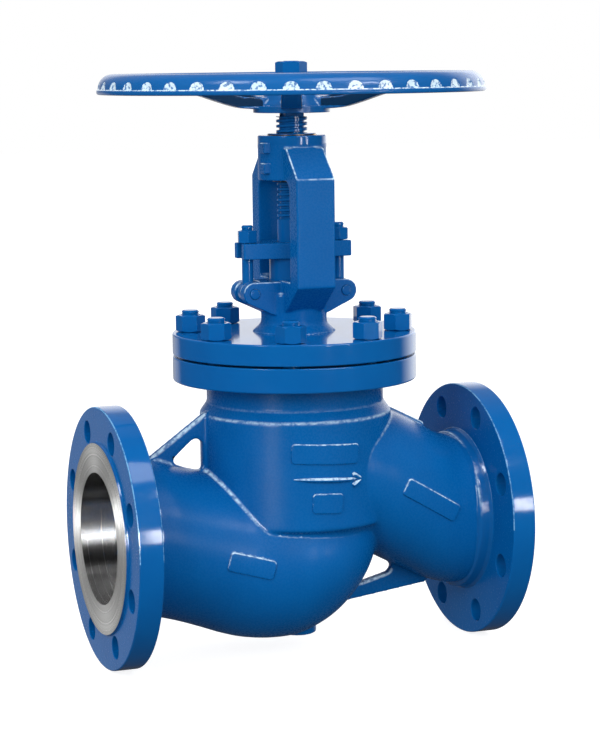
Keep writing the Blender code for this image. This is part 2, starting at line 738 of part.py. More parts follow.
def spoke_mesh(angle):
    """One dished spoke from the hub up to the rim."""
    path = [(0.030, 0.4770), (0.058, 0.4785), (0.078, 0.4845), (0.112, 0.4965), (0.140, 0.5035),
            (0.201, 0.5060)]
    half = SPOKE_W / 2
    sections = []
    for r, z in path:
        taper = 1.0 - 0.25 * (r - 0.030) / 0.171
        w = half * taper
        sections.append([(r, -w, z), (r, w, z), (r, w * 0.85, z + SPOKE_T), (r, -w * 0.85, z + SPOKE_T)])
    mesh = lofted("spoke", sections)
    mesh.transform(Matrix.Rotation(angle, 4, "Z"))
    return mesh


def handwheel():
    wheel = place("handwheel", rim_mesh(), enamel())
    hub = turned("hub", [(0, WHEEL_HUB_Z - 0.0005), (WHEEL_HUB_R - 0.001, WHEEL_HUB_Z - 0.0005),
                         (WHEEL_HUB_R, WHEEL_HUB_Z + 0.0005), (WHEEL_HUB_R, 0.4840), (0.036, 0.490),
                         (0.030, 0.500), (0.028, WHEEL_TOP_Z), (0, WHEEL_TOP_Z)])
    combine(wheel, hub, "UNION")
    for i in range(SPOKES):
        combine(wheel, spoke_mesh(SPOKE_START + FULL * i / SPOKES), "UNION")
    half = SQUARE / 2 + GAP
    corners = [(half, half), (-half, half), (-half, -half), (half, -half)]
    combine(wheel, prism("square_hole", corners, "Z", 0.460, 0.540))
    return clean(wheel)


def handwheel_nut():
    height = NUT_TOP_Z - WHEEL_TOP_Z - GAP - 0.0005
    mesh = nut_mesh("handwheel_nut", WHEEL_NUT_AF, height, TOP_SCREW_R + 0.0007, math.radians(9))
    return place("handwheel_nut", mesh, enamel(), (0, 0, WHEEL_TOP_Z + GAP))


def build():
    for obj in list(bpy.data.objects):
        bpy.data.objects.remove(obj, do_unlink=True)
    valve_body()
    seat_ring()
    gasket()
    bonnet()
    bonnet_fasteners()
    backseat_bush()
    nose_z = packing()
    gland(nose_z)
    gland_fasteners()
    yoke_nut()
    disc()
    disc_nut()
    stem()
    handwheel()
    handwheel_nut()


build()
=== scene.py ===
"""Looks of the flanged globe valve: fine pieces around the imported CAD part, materials, light and camera.

Metres, +Z up, in the CAD part's own frame: the pipe axis is X and the stem axis is Z.
"""
import math

import bmesh
import bpy
from mathutils import Matrix, Vector

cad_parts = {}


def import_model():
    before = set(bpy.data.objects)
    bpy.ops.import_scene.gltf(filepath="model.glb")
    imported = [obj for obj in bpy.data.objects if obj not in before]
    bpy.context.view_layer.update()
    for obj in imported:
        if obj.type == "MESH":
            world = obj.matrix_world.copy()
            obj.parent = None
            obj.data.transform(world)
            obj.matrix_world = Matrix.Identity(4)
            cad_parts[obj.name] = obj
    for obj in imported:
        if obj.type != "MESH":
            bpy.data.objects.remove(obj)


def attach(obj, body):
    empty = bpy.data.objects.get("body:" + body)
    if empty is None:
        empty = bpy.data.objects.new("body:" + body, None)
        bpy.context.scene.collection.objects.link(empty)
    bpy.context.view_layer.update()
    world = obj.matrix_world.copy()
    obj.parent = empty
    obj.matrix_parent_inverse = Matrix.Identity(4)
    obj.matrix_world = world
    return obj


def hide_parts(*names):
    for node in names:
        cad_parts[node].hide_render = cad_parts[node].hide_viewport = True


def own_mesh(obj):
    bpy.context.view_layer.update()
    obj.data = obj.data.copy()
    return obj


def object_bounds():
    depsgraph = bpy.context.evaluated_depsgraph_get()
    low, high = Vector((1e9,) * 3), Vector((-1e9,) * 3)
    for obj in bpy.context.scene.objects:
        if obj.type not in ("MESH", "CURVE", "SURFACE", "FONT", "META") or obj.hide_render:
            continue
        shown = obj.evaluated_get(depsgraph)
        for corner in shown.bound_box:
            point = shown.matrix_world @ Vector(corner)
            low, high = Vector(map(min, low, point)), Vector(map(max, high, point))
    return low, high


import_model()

cad_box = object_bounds()

FULL = 2 * math.pi
GAP = 0.0003                  # clearance between neighbouring pieces
SLACK = 0.0002                # how far past an edge a face may lie and still take the look behind it

# Pipe flanges
BORE_R = 0.075
FACE_X = 0.240
FLANGE_R = 0.150
FLANGE_T = 0.028
RAISED_R = 0.109
RAISED_T = 0.003
BOLT_CIRCLE_R = 0.125
BOLT_HOLE_R = 0.013
HUB_R = 0.0945
HUB_L = 0.018
BOLTS = 8
BACK_X = FACE_X - RAISED_T - FLANGE_T

# Body casting
NECK_R = 0.1025
BARREL_R = 0.111
BARREL_Z = 0.007
SHOULDER_Z = 0.141
COVER_R = 0.141
COVER_Z = (0.171, 0.199)
CHAMBER_R = 0.090
FLOOR_Z = 0.014
BRIDGE_Z = -0.006
DRAIN_R = 0.022
DRAIN_Z = -0.132
RIB_T = 0.012
STUD_HOLE_R = 0.0111
BORE_LOOK_X = 0.120           # where the bare steel of the bores begins
BODY_VOXEL = 0.0021

# Blank pads where the casting carries marks: centre, outward direction, direction along, half sizes
PADS = (((-0.0045, -0.1103, 0.0975), (-0.04, -1.0, 0.0), (1.0, 0.0, -0.05), 0.0400, 0.0115),
        ((-0.0036, -0.1104, 0.0415), (-0.03, -1.0, 0.0), (1.0, 0.0, -0.05), 0.0180, 0.0115),
        ((-0.0896, -0.0947, -0.0255), (-0.11, -0.99, 0.05), (1.0, 0.0, -0.28), 0.0270, 0.0110),
        ((0.1310, -0.0955, 0.0321), (0.15, -0.99, 0.06), (0.0755, 0.0083, -0.0438), 0.0400, 0.0105))
PAD_RISE = 0.0020
PAD_DEPTH = (-0.014, 0.012)
PAD_CORNER = 0.004
PAD_VOXEL = 0.0008

# Bonnet and yoke casting
GASKET_R = 0.108
BONNET_Z = (0.2013, 0.2255)
STUD_CIRCLE_R = 0.120
SPIGOT_R = 0.0885
SPIGOT_Z = 0.187
THROAT_R = 0.038
YOKE_BASE_Z = 0.286
WINDOW_TOP_Z = 0.400
CREASE_Z = 0.403
YOKE_TOP_Z = 0.451
YOKE_TOP_R = 0.0394
LEG_Y = (0.050, 0.074)
LEG_W = 0.046
LUG_X = 0.056
LUG_Z = 0.272
LUG_R = 0.013
LUG_Y = 0.024
SLOT_W = 0.0156
PIN_R = 0.006
PIN_HALF_Y = 0.0255
CAP_H = 0.008                 # machined top of the yoke
BOX_LOOK_Z = 0.300            # above this the stuffing box's wall is over
YOKE_VOXEL = 0.0012
BONNET_HOLE_R = 0.0110
STUD_R = 0.0100
STUD_Z = (0.174, 0.2505)
NUT_BORE_R = 0.0107
NUT_AF = 0.030                # width across flats
NUT_H = 0.019
FINE_THREAD = (0.0015, 0.0007)   # pitch and depth of the studs' and the stem top's thread

# Stuffing box and gland
STEM_R = 0.018
STEM_BORE_R = 0.0184
BOX_R = 0.0284
BOX_FLOOR_Z = 0.236
RING_R = 0.0279
RING_H = 0.0085
RING_COUNT = 4
WASHER_H = 0.003
FOLLOWER_R = 0.0278
GLAND_Z = (0.311, 0.329)
GLAND_HALF_X = 0.066
EYE_SHANK_R = 0.0066
EYE_BOLT_L = 0.0775           # from the hinge pin to the tip
EYE_THREAD = (0.0014, 0.0006)
EYE_R = 0.011
EYE_SIDE = 0.0072
GLAND_NUT_AF = 0.021
GLAND_NUT_H = 0.0140
GLAND_SLOT_R = 0.0075

# Yoke nut: bottom, under the head, top
YOKE_NUT_Z = (0.3985, 0.4466, 0.4530)
YOKE_NUT_R = 0.0240
YOKE_NUT_HEAD_R = 0.0280
YOKE_NUT_FIT = 0.0004         # clearance round it in the yoke

# Screw thread of the stem
PITCH = 0.006
THREAD_DEPTH = 0.0033
THREAD_Z = (0.3523, 0.4723)

# Disc, seat and backseat
SEAT_TOP_Z = 0.020
SEAT_R = 0.084
DISC_R = 0.082
DISC_H = 0.026
DISC_NECK_R = 0.040
DISC_BORE_R = 0.0320
DISC_BORE_Z = (0.0600, 0.0820)   # shoulder over the stem's head, and top
DISC_NUT_R = 0.0360
DISC_NUT_TOP_Z = 0.0860
HEAD_R = 0.025
HEAD_Z = (0.0420, 0.0590)
BUSH_R = 0.0260
BUSH_Z = (0.1875, 0.2060)

# Handwheel
WHEEL_R = 0.222
WHEEL_Z = (0.499, 0.522)
WHEEL_HUB_R = 0.044
WHEEL_HUB_Z = 0.477
WHEEL_TOP_Z = 0.513
COLLAR_Z = 0.4842             # top of the hub's machined collar
SPOKES = 5
SPOKE_W = 0.0255
SPOKE_T = 0.013
SPOKE_X = (0.030, 0.201)      # from inside the hub to inside the rim
SPOKE_TAPER = 0.25
SPOKE_START = math.radians(249.2)
SCALLOPS = 40
SCALLOP_H = 0.0090
SCALLOP_SHARE = 0.27          # half width of a scallop as a share of the pitch
LIP_Z = 0.0055                # height of the rim's plain lower lip
LEDGE_Z = WHEEL_Z[0] + LIP_Z
RIM_W = 0.024
RIM_TOP_R = 0.2035
RIM_SWELL = 0.0170
WHEEL_VOXEL = 0.0013
SQUARE = 0.022
WHEEL_NUT_AF = 0.0320
WHEEL_NUT_TURN = math.radians(39.2)
NUT_TOP_Z = 0.535


# ---------------------------------------------------------------- mesh tools

def finish_mesh(bm, name, sharp=35):
    bmesh.ops.remove_doubles(bm, verts=bm.verts, dist=1e-6)
    bmesh.ops.recalc_face_normals(bm, faces=bm.faces)
    mesh = bpy.data.meshes.new(name)
    bm.to_mesh(mesh)
    bm.free()
    mesh.shade_smooth()
    mesh.set_sharp_from_angle(angle=math.radians(sharp))
    return mesh


def placed(name, data):
    """An object in the scene that holds a mesh, a lamp or a camera."""
    obj = bpy.data.objects.new(name, data)
    bpy.context.scene.collection.objects.link(obj)
    return obj


def on_circle(radius, angle):
    return radius * math.cos(angle), radius * math.sin(angle)


def ring(bm, points):
    return [bm.verts.new(p) for p in points]


def join_rings(bm, a, b):
    """Quads between two closed rings, or a fan where one of them is a single point."""
    count = max(len(a), len(b))
    for i in range(count):
        j = (i + 1) % count
        corners = [a[i % len(a)], a[j % len(a)], b[j % len(b)], b[i % len(b)]]
        unique = list(dict.fromkeys(corners))
        if len(unique) > 2:
            bm.faces.new(unique)


def eased(points, closed=True, steps=4):
    """Round the corners of an outline whose points are (u, v) or (u, v, radius)."""
    out = []
    count = len(points)
    for i, point in enumerate(points):
        here = Vector(point[:2])
        radius = point[2] if len(point) > 2 else 0.0
        at_end = not closed and i in (0, count - 1)
        if radius == 0.0 or at_end:
            out.append(tuple(here))
            continue
        back = (Vector(points[i - 1][:2]) - here).normalized()
        ahead = (Vector(points[(i + 1) % count][:2]) - here).normalized()
        half = back.angle(ahead) / 2
        centre = here + (back + ahead).normalized() * (radius / math.sin(half))
        reach = radius / math.tan(half)
        start = here + back * reach - centre
        end = here + ahead * reach - centre
        first = math.atan2(start.y, start.x)
        turn = (math.atan2(end.y, end.x) - first + math.pi) % FULL - math.pi
        for k in range(steps + 1):
            t = first + turn * k / steps
            u, v = on_circle(radius, t)
            out.append((centre.x + u, centre.y + v))
    return out


def turned(name, profile, segments=96, axis="Z", sharp=35):
    """A closed solid turned about an axis from (radius, height) or (radius, height, rounding) points.

    A profile that starts and ends on the axis is capped there; any other is a closed loop.
    """
    on_axis = profile[0][0] < 1e-7
    profile = eased(profile, closed=not on_axis)
    bm = bmesh.new()
    rings = []
    for radius, height in profile:
        if radius < 1e-7:
            rings.append(ring(bm, [(0, 0, height)]))
            continue
        turn = [FULL * i / segments for i in range(segments)]
        rings.append(ring(bm, [(*on_circle(radius, t), height) for t in turn]))
    pairs = list(zip(rings, rings[1:]))
    if not on_axis:
        pairs.append((rings[-1], rings[0]))
    for a, b in pairs:
        join_rings(bm, a, b)
    if axis == "X":
        bm.transform(Matrix.Rotation(math.pi / 2, 4, "Y"))
    if axis == "Y":
        bm.transform(Matrix.Rotation(-math.pi / 2, 4, "X"))
    return finish_mesh(bm, name, sharp)


def lofted(name, sections, sharp=35):
    """A closed solid through rings that all have the same number of points."""
    bm = bmesh.new()
    rings = [ring(bm, points) for points in sections]
    for a, b in zip(rings, rings[1:]):
        join_rings(bm, a, b)
    bm.faces.new(rings[0])
    bm.faces.new(rings[-1])
    return finish_mesh(bm, name, sharp)


def plug(name, profile, segments=96, axis="Z"):
    """A turned solid without a bore: the profile is closed to the axis at both ends."""
    return turned(name, [(0, profile[0][1]), *profile, (0, profile[-1][1])], segments, axis)


def cylinder(name, radius, low, high, segments=96, axis="Z"):
    return plug(name, [(radius, low), (radius, high)], segments, axis)


def prism(name, outline, axis, low, high):
    """An outline in the plane across an axis, extruded along it from low to high."""
    outline = eased(outline)

    def put(u, v, w):
        return {"X": (w, u, v), "Y": (u, w, v), "Z": (u, v, w)}[axis]

    return lofted(name, [[put(u, v, w) for u, v in outline] for w in (low, high)])


def arc(centre, radius, start, end, steps):
    """Points on an arc, angles in degrees."""
    out = []
    for i in range(steps + 1):
        u, v = on_circle(radius, math.radians(start + (end - start) * i / steps))
        out.append((centre[0] + u, centre[1] + v))
    return out


def rectangle(wide, tall, rounding=0.0):
    """The corners of a rectangle, from its half sizes."""
    return [(u * wide, v * tall, rounding) for u, v in ((1, 1), (-1, 1), (-1, -1), (1, -1))]


def mirrored(right):
    """An outline's right half and its mirror image."""
    return right + [(-u, v) for u, v in reversed(right)]


def super_ring(x, centre_z, half_y, half_z, power=2.0, segments=96):
    """A ring of points in the plane X = x, an ellipse or a squarer superellipse."""
    out = []
    for i in range(segments):
        t = FULL * i / segments
        c = math.copysign(abs(math.cos(t)) ** (2 / power), math.cos(t))
        s = math.copysign(abs(math.sin(t)) ** (2 / power), math.sin(t))
        out.append((x, half_y * c, centre_z + half_z * s))
    return out


def between(rows, steps=5):
    """Rows of numbers on a smooth curve through the given rows."""
    out = []
    last = len(rows) - 1
    for i in range(last):
        p0, p1, p2, p3 = rows[max(i - 1, 0)], rows[i], rows[i + 1], rows[min(i + 2, last)]
        for k in range(steps):
            t = k / steps
            out.append([0.5 * (2 * b + (c - a) * t + (2 * a - 5 * b + 4 * c - d) * t * t
                               + (3 * b - a - 3 * c + d) * t ** 3)
                        for a, b, c, d in zip(p0, p1, p2, p3)])
    out.append(list(rows[-1]))
    return out


def tube(name, sections, steps=5, power=2.0):
    """A solid with a smooth course through (x, centre z, half width, half height) sections."""
    return lofted(name, [super_ring(*section, power=power) for section in between(sections, steps)])


def baked(obj):
    """Replace an object's mesh by its evaluated one and drop its modifiers."""
    graph = bpy.context.evaluated_depsgraph_get()
    mesh = bpy.data.meshes.new_from_object(obj.evaluated_get(graph))
    old = obj.data
    obj.modifiers.clear()
    obj.data = mesh
    bpy.data.meshes.remove(old)
    return obj


def taken(obj):
    """The mesh of a helper object, which is removed."""
    mesh = obj.data
    bpy.data.objects.remove(obj)
    return mesh


def combine(obj, mesh, operation="DIFFERENCE"):
    """One Boolean step with a mesh, which is used up."""
    tool = placed("tool", mesh)
    step = obj.modifiers.new("step", "BOOLEAN")
    step.operation = operation
    step.solver = "MANIFOLD"
    step.object = tool
    baked(obj)
    bpy.data.objects.remove(tool)
    bpy.data.meshes.remove(mesh)
    return obj


def joined(meshes, name="joined"):
    """Several meshes in one, as they are."""
    bm = bmesh.new()
    for mesh in meshes:
        bm.from_mesh(mesh)
        bpy.data.meshes.remove(mesh)
    out = bpy.data.meshes.new(name)
    bm.to_mesh(out)
    bm.free()
    return out


def grown(name, meshes, voxel, rounds, factor=0.5):
    """One casting from overlapping solids, with its corners melted soft."""
    obj = placed(name, joined(meshes))
    remesh = obj.modifiers.new("grow", "REMESH")
    remesh.mode = "VOXEL"
    remesh.voxel_size = voxel
    smooth = obj.modifiers.new("fillet", "SMOOTH")
    smooth.factor = factor
    smooth.iterations = rounds
    return baked(obj)


def softened(mesh, width, segments=3):
    """The mesh with its edges rounded."""
    obj = placed("soft", mesh)
    bevel = obj.modifiers.new("round", "BEVEL")
    bevel.width = width
    bevel.segments = segments
    bevel.limit_method = "ANGLE"
    bevel.angle_limit = math.radians(40)
    return taken(baked(obj))


def shaded(obj, sharp=35):
    """Merge the slivers that Booleans leave, and shade the piece smooth between its real edges."""
    bm = bmesh.new()
    bm.from_mesh(obj.data)
    bmesh.ops.remove_doubles(bm, verts=bm.verts, dist=2e-6)
    bmesh.ops.dissolve_degenerate(bm, edges=bm.edges, dist=1e-6)
    bm.to_mesh(obj.data)
    bm.free()
    obj.data.shade_smooth()
    obj.data.set_sharp_from_angle(angle=math.radians(sharp))
    return obj


def sliced(obj, heights):
    """Cut edges into a mesh at some heights, so that a look can change there."""
    bm = bmesh.new()
    bm.from_mesh(obj.data)
    for height in heights:
        parts = list(bm.verts) + list(bm.edges) + list(bm.faces)
        bmesh.ops.bisect_plane(bm, geom=parts, plane_co=(0, 0, height), plane_no=(0, 0, 1))
    bm.to_mesh(obj.data)
    bm.free()
    return obj


def ring_of(make, count, circle, axis="Z"):
    """Copies of a mesh on a circle, straddling the centre lines."""
    out = []
    for i in range(count):
        a, b = on_circle(circle, FULL * (i + 0.5) / count)
        mesh = make()
        mesh.transform(Matrix.Translation((0, a, b) if axis == "X" else (a, b, 0)))
        out.append(mesh)
    return joined(out)


# ---------------------------------------------------------------- materials

def node(tree, kind, **values):
    made = tree.nodes.new(kind)
    for key, value in values.items():
        setattr(made, key, value)
    return made


def mapped(tree, source, low, high, out_low, out_high):
    """A Map Range from low..high to out_low..out_high."""
    step = node(tree, "ShaderNodeMapRange")
    tree.links.new(source, step.inputs["Value"])
    for key, value in (("From Min", low), ("From Max", high), ("To Min", out_low), ("To Max", out_high)):
        step.inputs[key].default_value = value
    return step.outputs["Result"]


def noise(tree, vector, scale, detail=3.0, rough=0.55):
    made = node(tree, "ShaderNodeTexNoise")
    made.inputs["Scale"].default_value = scale
    made.inputs["Detail"].default_value = detail
    made.inputs["Roughness"].default_value = rough
    tree.links.new(vector, made.inputs["Vector"])
    return made.outputs["Fac"]


def mixed(tree, factor, under, colour):
    """A plain colour laid by a factor over another, which is plain too or an output socket."""
    mix = node(tree, "ShaderNodeMix", data_type="RGBA")
    tree.links.new(factor, mix.inputs["Factor"])
    if isinstance(under, tuple):
        mix.inputs[6].default_value = (*under, 1.0)
    else:
        tree.links.new(under, mix.inputs[6])
    mix.inputs[7].default_value = (*colour, 1.0)
    return mix.outputs[2]


def reckoned(tree, operation, first, *others):
    """One Math operation carried through several sockets."""
    for other in others:
        step = node(tree, "ShaderNodeMath", operation=operation)
        tree.links.new(first, step.inputs[0])
        tree.links.new(other, step.inputs[1])
        first = step.outputs[0]
    return first


def split(tree, vector):
    """The X, Y and Z outputs of a vector."""
    parts = node(tree, "ShaderNodeSeparateXYZ")
    tree.links.new(vector, parts.inputs[0])
    return parts.outputs


def bumped(tree, heights):
    """A chain of bumps from (height socket, distance in metres, strength)."""
    normal = None
    for height, distance, strength in heights:
        bump = node(tree, "ShaderNodeBump")
        bump.inputs["Distance"].default_value = distance
        bump.inputs["Strength"].default_value = strength
        tree.links.new(height, bump.inputs["Height"])
        if normal:
            tree.links.new(normal, bump.inputs["Normal"])
        normal = bump.outputs["Normal"]
    return normal


def new_material(name):
    mat = bpy.data.materials.new(name)
    mat.use_nodes = True
    tree = mat.node_tree
    place = node(tree, "ShaderNodeTexCoord").outputs["Object"]
    return mat, tree, tree.nodes["Principled BSDF"], place


def around(tree, place, axis):
    """A vector (radius from the axis, place along it, 0), so that a noise makes turning marks."""
    parts = split(tree, place)
    across = [name for name in "XYZ" if name != axis]
    flat = node(tree, "ShaderNodeCombineXYZ")
    for name, key in zip(across, "XY"):
        tree.links.new(parts[name], flat.inputs[key])
    length = node(tree, "ShaderNodeVectorMath", operation="LENGTH")
    tree.links.new(flat.outputs[0], length.inputs[0])
    out = node(tree, "ShaderNodeCombineXYZ")
    tree.links.new(length.outputs["Value"], out.inputs["X"])
    tree.links.new(parts[axis], out.inputs["Y"])
    return out.outputs[0]


BLUE = (0.0012, 0.113, 0.375)
BLUE_DEEP = (0.0010, 0.095, 0.330)
# The pale, white and edge blues below are painted highlights; the shade blue is painted shade.
BLUE_HIGHLIGHT = (0.600, 0.800, 0.950)
BLUE_WHITE_HIGHLIGHT = (0.900, 0.960, 1.000)
BLUE_EDGE_HIGHLIGHT = (0.160, 0.400, 0.680)
BLUE_SHADE = (0.0010, 0.028, 0.085)


def painted_edge_highlight(tree, place, creases, ridges):
    """Painted highlight: pale colour on the upper side of edges and in upper fillets, where light from above
    would catch them.

    creases and ridges are pairs: the pointiness at which each begins to show, and shows in full.
    """
    shape = node(tree, "ShaderNodeNewGeometry").outputs
    upward = mapped(tree, split(tree, shape["Normal"])["Z"], 0.05, 0.30, 0.0, 1.0)
    ridge = mapped(tree, shape["Pointiness"], *ridges, 0.0, 0.95)
    crease = mapped(tree, shape["Pointiness"], *creases, 0.0, 0.90)
    broken = mapped(tree, noise(tree, place, 160.0), 0.38, 0.56, 0.25, 1.0)
    return reckoned(tree, "MULTIPLY", reckoned(tree, "MAXIMUM", ridge, crease), upward, broken)


def enamel(name, roughness, grain, peel, shine, highlit_edges=None, colours=(BLUE, BLUE_DEEP), flecks=0.0):
    """Enamel over a casting.

    grain is the depth of the casting's roughness and peel that of the paint's own surface, the argument after
    shine holds the creases and ridges where a highlight is painted pale on upper edges and fillets, and
    flecks says how strongly blue shows through the pale colours of painted highlights.
    """
    mat, tree, shader, place = new_material(name)
    broad = noise(tree, place, 22.0, 4.0)
    colour = mixed(tree, mapped(tree, broad, 0.35, 0.70, 0.0, 0.55), *colours)
    if highlit_edges:
        # Painted highlight: pale colour on upward-facing ridges and in upward-facing fillets
        colour = mixed(tree, painted_edge_highlight(tree, place, *highlit_edges), colour, BLUE_HIGHLIGHT)
    if flecks:
        # Blue flecks break up the pale colours of painted highlights
        share = mapped(tree, noise(tree, place, 260.0), 0.50, 0.60, 0.0, flecks)
        colour = mixed(tree, share, colour, BLUE)
    tree.links.new(colour, shader.inputs["Base Color"])
    fine = noise(tree, place, 420.0, 3.0)
    gloss = mapped(tree, fine, 0.3, 0.7, roughness - 0.04, roughness + 0.05)
    tree.links.new(gloss, shader.inputs["Roughness"])
    cast = noise(tree, place, 210.0, 4.0, 0.6)
    normal = bumped(tree, [(cast, grain, 1.0), (fine, peel, 1.0)])
    tree.links.new(normal, shader.inputs["Normal"])
    shader.inputs["Specular IOR Level"].default_value = shine
    return mat


def turned_steel(name, axis, colour=(0.72, 0.72, 0.71), rough=0.30, marks=900.0, depth=0.00005, spread=1.0):
    """Bare metal with the rings that a lathe leaves about an axis. spread is how much its gloss varies."""
    mat, tree, shader, place = new_material(name)
    lathe = around(tree, place, axis)
    rings = noise(tree, lathe, marks, 4.0, 0.65)
    broad = noise(tree, lathe, marks / 9, 2.0)
    dark = tuple(c * 0.55 for c in colour)
    tone = mixed(tree, mapped(tree, broad, 0.35, 0.65, 0.0, 0.6), colour, dark)
    tree.links.new(tone, shader.inputs["Base Color"])
    gloss = mapped(tree, rings, 0.3, 0.7, rough - 0.07 * spread, rough + 0.12 * spread)
    tree.links.new(gloss, shader.inputs["Roughness"])
    stain = noise(tree, place, 60.0)
    tree.links.new(bumped(tree, [(rings, depth, 1.0), (stain, depth, 0.5)]), shader.inputs["Normal"])
    shader.inputs["Metallic"].default_value = 1.0
    grooves = node(tree, "ShaderNodeTangent", direction_type="RADIAL", axis=axis)
    tree.links.new(grooves.outputs[0], shader.inputs["Tangent"])
    shader.inputs["Anisotropic"].default_value = 0.85
    shader.inputs["Anisotropic Rotation"].default_value = 0.25
    return mat


# Height in the bore, from 0 at the bottom to 1 at the top, and brightness of the painted reflection there
BORE_BANDS = ((0.00, 0.55), (0.16, 0.80), (0.24, 0.16), (0.34, 0.20),
              (0.42, 0.95), (0.62, 0.95), (0.72, 0.10), (0.95, 0.03))


def banded(mat):
    """Painted reflections: dark and bright bands along a bore, as its wall turns through the studio's light.
    """
    tree = mat.node_tree
    shader = tree.nodes["Principled BSDF"]
    parts = split(tree, node(tree, "ShaderNodeTexCoord").outputs["Object"])
    bands = node(tree, "ShaderNodeValToRGB")
    for _ in range(len(BORE_BANDS) - 2):
        bands.color_ramp.elements.new(0.5)
    for stop, (position, level) in zip(bands.color_ramp.elements, BORE_BANDS):
        stop.position = position
        stop.color = (level, level, level, 1.0)
    tree.links.new(mapped(tree, parts["Z"], -BORE_R, BORE_R, 0.0, 1.0), bands.inputs[0])
    tree.links.new(bands.outputs[0], shader.inputs["Base Color"])
    return mat


def graphite():
    """Braided graphite packing."""
    mat, tree, shader, place = new_material("graphite")
    weave = node(tree, "ShaderNodeTexVoronoi")
    weave.inputs["Scale"].default_value = 480.0
    tree.links.new(place, weave.inputs["Vector"])
    cell = weave.outputs["Distance"]
    colour = mixed(tree, mapped(tree, cell, 0.0, 0.8, 0.0, 1.0), (0.075, 0.075, 0.08), (0.012, 0.012, 0.014))
    tree.links.new(colour, shader.inputs["Base Color"])
    tree.links.new(mapped(tree, cell, 0.0, 0.8, 0.45, 0.75), shader.inputs["Roughness"])
    tree.links.new(bumped(tree, [(cell, 0.0003, 1.0)]), shader.inputs["Normal"])
    return mat


# Pointiness at which a painted highlight begins to show in upper fillets and on upper edges, and shows in
# full
CREASES, RIDGES = (0.490, 0.462), (0.507, 0.524)
CAST = enamel("enamel_cast", 0.27, 0.00010, 0.00004, 0.11, (CREASES, RIDGES))
YOKE = enamel("enamel_yoke", 0.27, 0.00005, 0.00003, 0.10, (CREASES, (0.510, 0.525)))
PLAIN = enamel("enamel_plain", 0.27, 0.00008, 0.00004, 0.14)
BEAD = enamel("enamel_bead", 0.12, 0.00006, 0.00003, 0.90, (CREASES, RIDGES))
SMOOTH = enamel("enamel_machined", 0.11, 0.00001, 0.00001, 0.50)
FACE = enamel("enamel_face", 0.24, 0.00002, 0.00001, 0.07)
# The wheel's enamel carries the same painted edge highlight, with its own pointiness limits
WHEEL = enamel("enamel_wheel", 0.22, 0.00005, 0.00002, 0.50, ((0.485, 0.460), (0.580, 0.640)))
SHADE = enamel("enamel_shaded", 0.30, 0.00005, 0.00002, 0.10, colours=(BLUE_SHADE, BLUE_SHADE))
# Painted highlight: pale enamel with blue flecks in and under the rim's scallops
SCALLOP_HIGHLIGHT = enamel("enamel_scallop_highlight", 0.25, 0.00004, 0.00002, 0.30, colours=(BLUE_HIGHLIGHT, BLUE_WHITE_HIGHLIGHT), flecks=0.85)
# Painted highlight on the upper rounding of the pipe flanges
FLANGE_EDGE_HIGHLIGHT = enamel("enamel_edge_highlight", 0.20, 0.00002, 0.00001, 0.50, colours=(BLUE_EDGE_HIGHLIGHT, BLUE_EDGE_HIGHLIGHT), flecks=0.70)
STEEL_X = turned_steel("steel_turned_x", "X", marks=620.0)
STEEL_BORE = banded(turned_steel("steel_bore", "X", marks=620.0, rough=0.24, depth=0.000002, spread=0.35))
STEEL_Z = turned_steel("steel_turned_z", "Z")
BRONZE = turned_steel("bronze", "Z", colour=(0.62, 0.40, 0.16), rough=0.30)
GRAPHITE = graphite()


def settled(obj, looks, node_name, body="valve", choose=None):
    """Finish a piece: its materials, its shading, the body it rides on and the CAD node it stands for.

    choose(centre, normal) says which of the looks a face takes. Flats are shaded flat up to the roundings.
    """
    mesh = obj.data
    mesh.materials.clear()
    for look in looks:
        mesh.materials.append(look)
    for face in mesh.polygons:
        face.material_index = choose(face.center, face.normal) if choose else 0
    flats = obj.modifiers.new("flats", "WEIGHTED_NORMAL")
    flats.keep_sharp = True
    baked(obj)
    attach(obj, body)
    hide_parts(node_name)
    return obj


def one_look(node_name, mesh, look=SMOOTH, body="valve", name=None):
    """A finished piece of one look, from its mesh."""
    return settled(placed(name or f"{node_name}_piece", mesh), (look,), node_name, body)


# ---------------------------------------------------------------- body

def inlet_and_bowl():
    """The inlet neck sweeps down from its flange into the bowl under the seat."""
    sections = [(-0.212, 0.000, 0.090, 0.090), (-0.190, -0.002, 0.090, 0.090),
                (-0.172, -0.005, 0.091, 0.091), (-0.150, -0.012, 0.0915, 0.0905),
                (-0.125, -0.020, 0.092, 0.0915), (-0.100, -0.0275, 0.0935, 0.0935),
                (-0.075, -0.034, 0.097, 0.094), (-0.045, -0.036, 0.105, 0.0955),
                (-0.015, -0.033, 0.109, 0.097), (0.015, -0.028, 0.105, 0.091),
                (0.040, -0.022, 0.095, 0.080), (0.062, -0.016, 0.078, 0.063),
                (0.078, -0.012, 0.056, 0.043), (0.088, -0.010, 0.030, 0.022)]
    return tube("bowl", sections)


def outlet_neck():
    """The outlet neck slopes down from the upper chamber to its flange."""
    sections = [(0.020, 0.070, 0.080, 0.066), (0.050, 0.064, 0.100, 0.078), (0.080, 0.051, 0.101, 0.088),
                (0.105, 0.040, 0.099, 0.092), (0.130, 0.028, 0.096, 0.0925), (0.155, 0.0145, 0.092, 0.092),
                (0.180, 0.004, 0.0885, 0.0895), (0.212, 0.000, 0.088, 0.088)]
    return tube("outlet", sections, power=2.3)


def barrel():
    """The upright barrel, with a rounded lower edge and a sloped shoulder under the neck."""
    return plug("barrel", [
        (0.075, -0.030), (BARREL_R - 0.006, BARREL_Z, 0.002), (BARREL_R, BARREL_Z + 0.003, 0.003),
        (BARREL_R, SHOULDER_Z - 0.008, 0.003), (NECK_R, SHOULDER_Z + 0.004, 0.003),
        (NECK_R, COVER_Z[0] + 0.004)], 144)


def rib(outline, window):
    """A web on the centre plane, with a window through it."""
    web = placed("web", prism("web", outline, "Y", -RIB_T / 2, RIB_T / 2))
    return taken(combine(web, prism("window", window, "Y", -0.030, 0.030)))


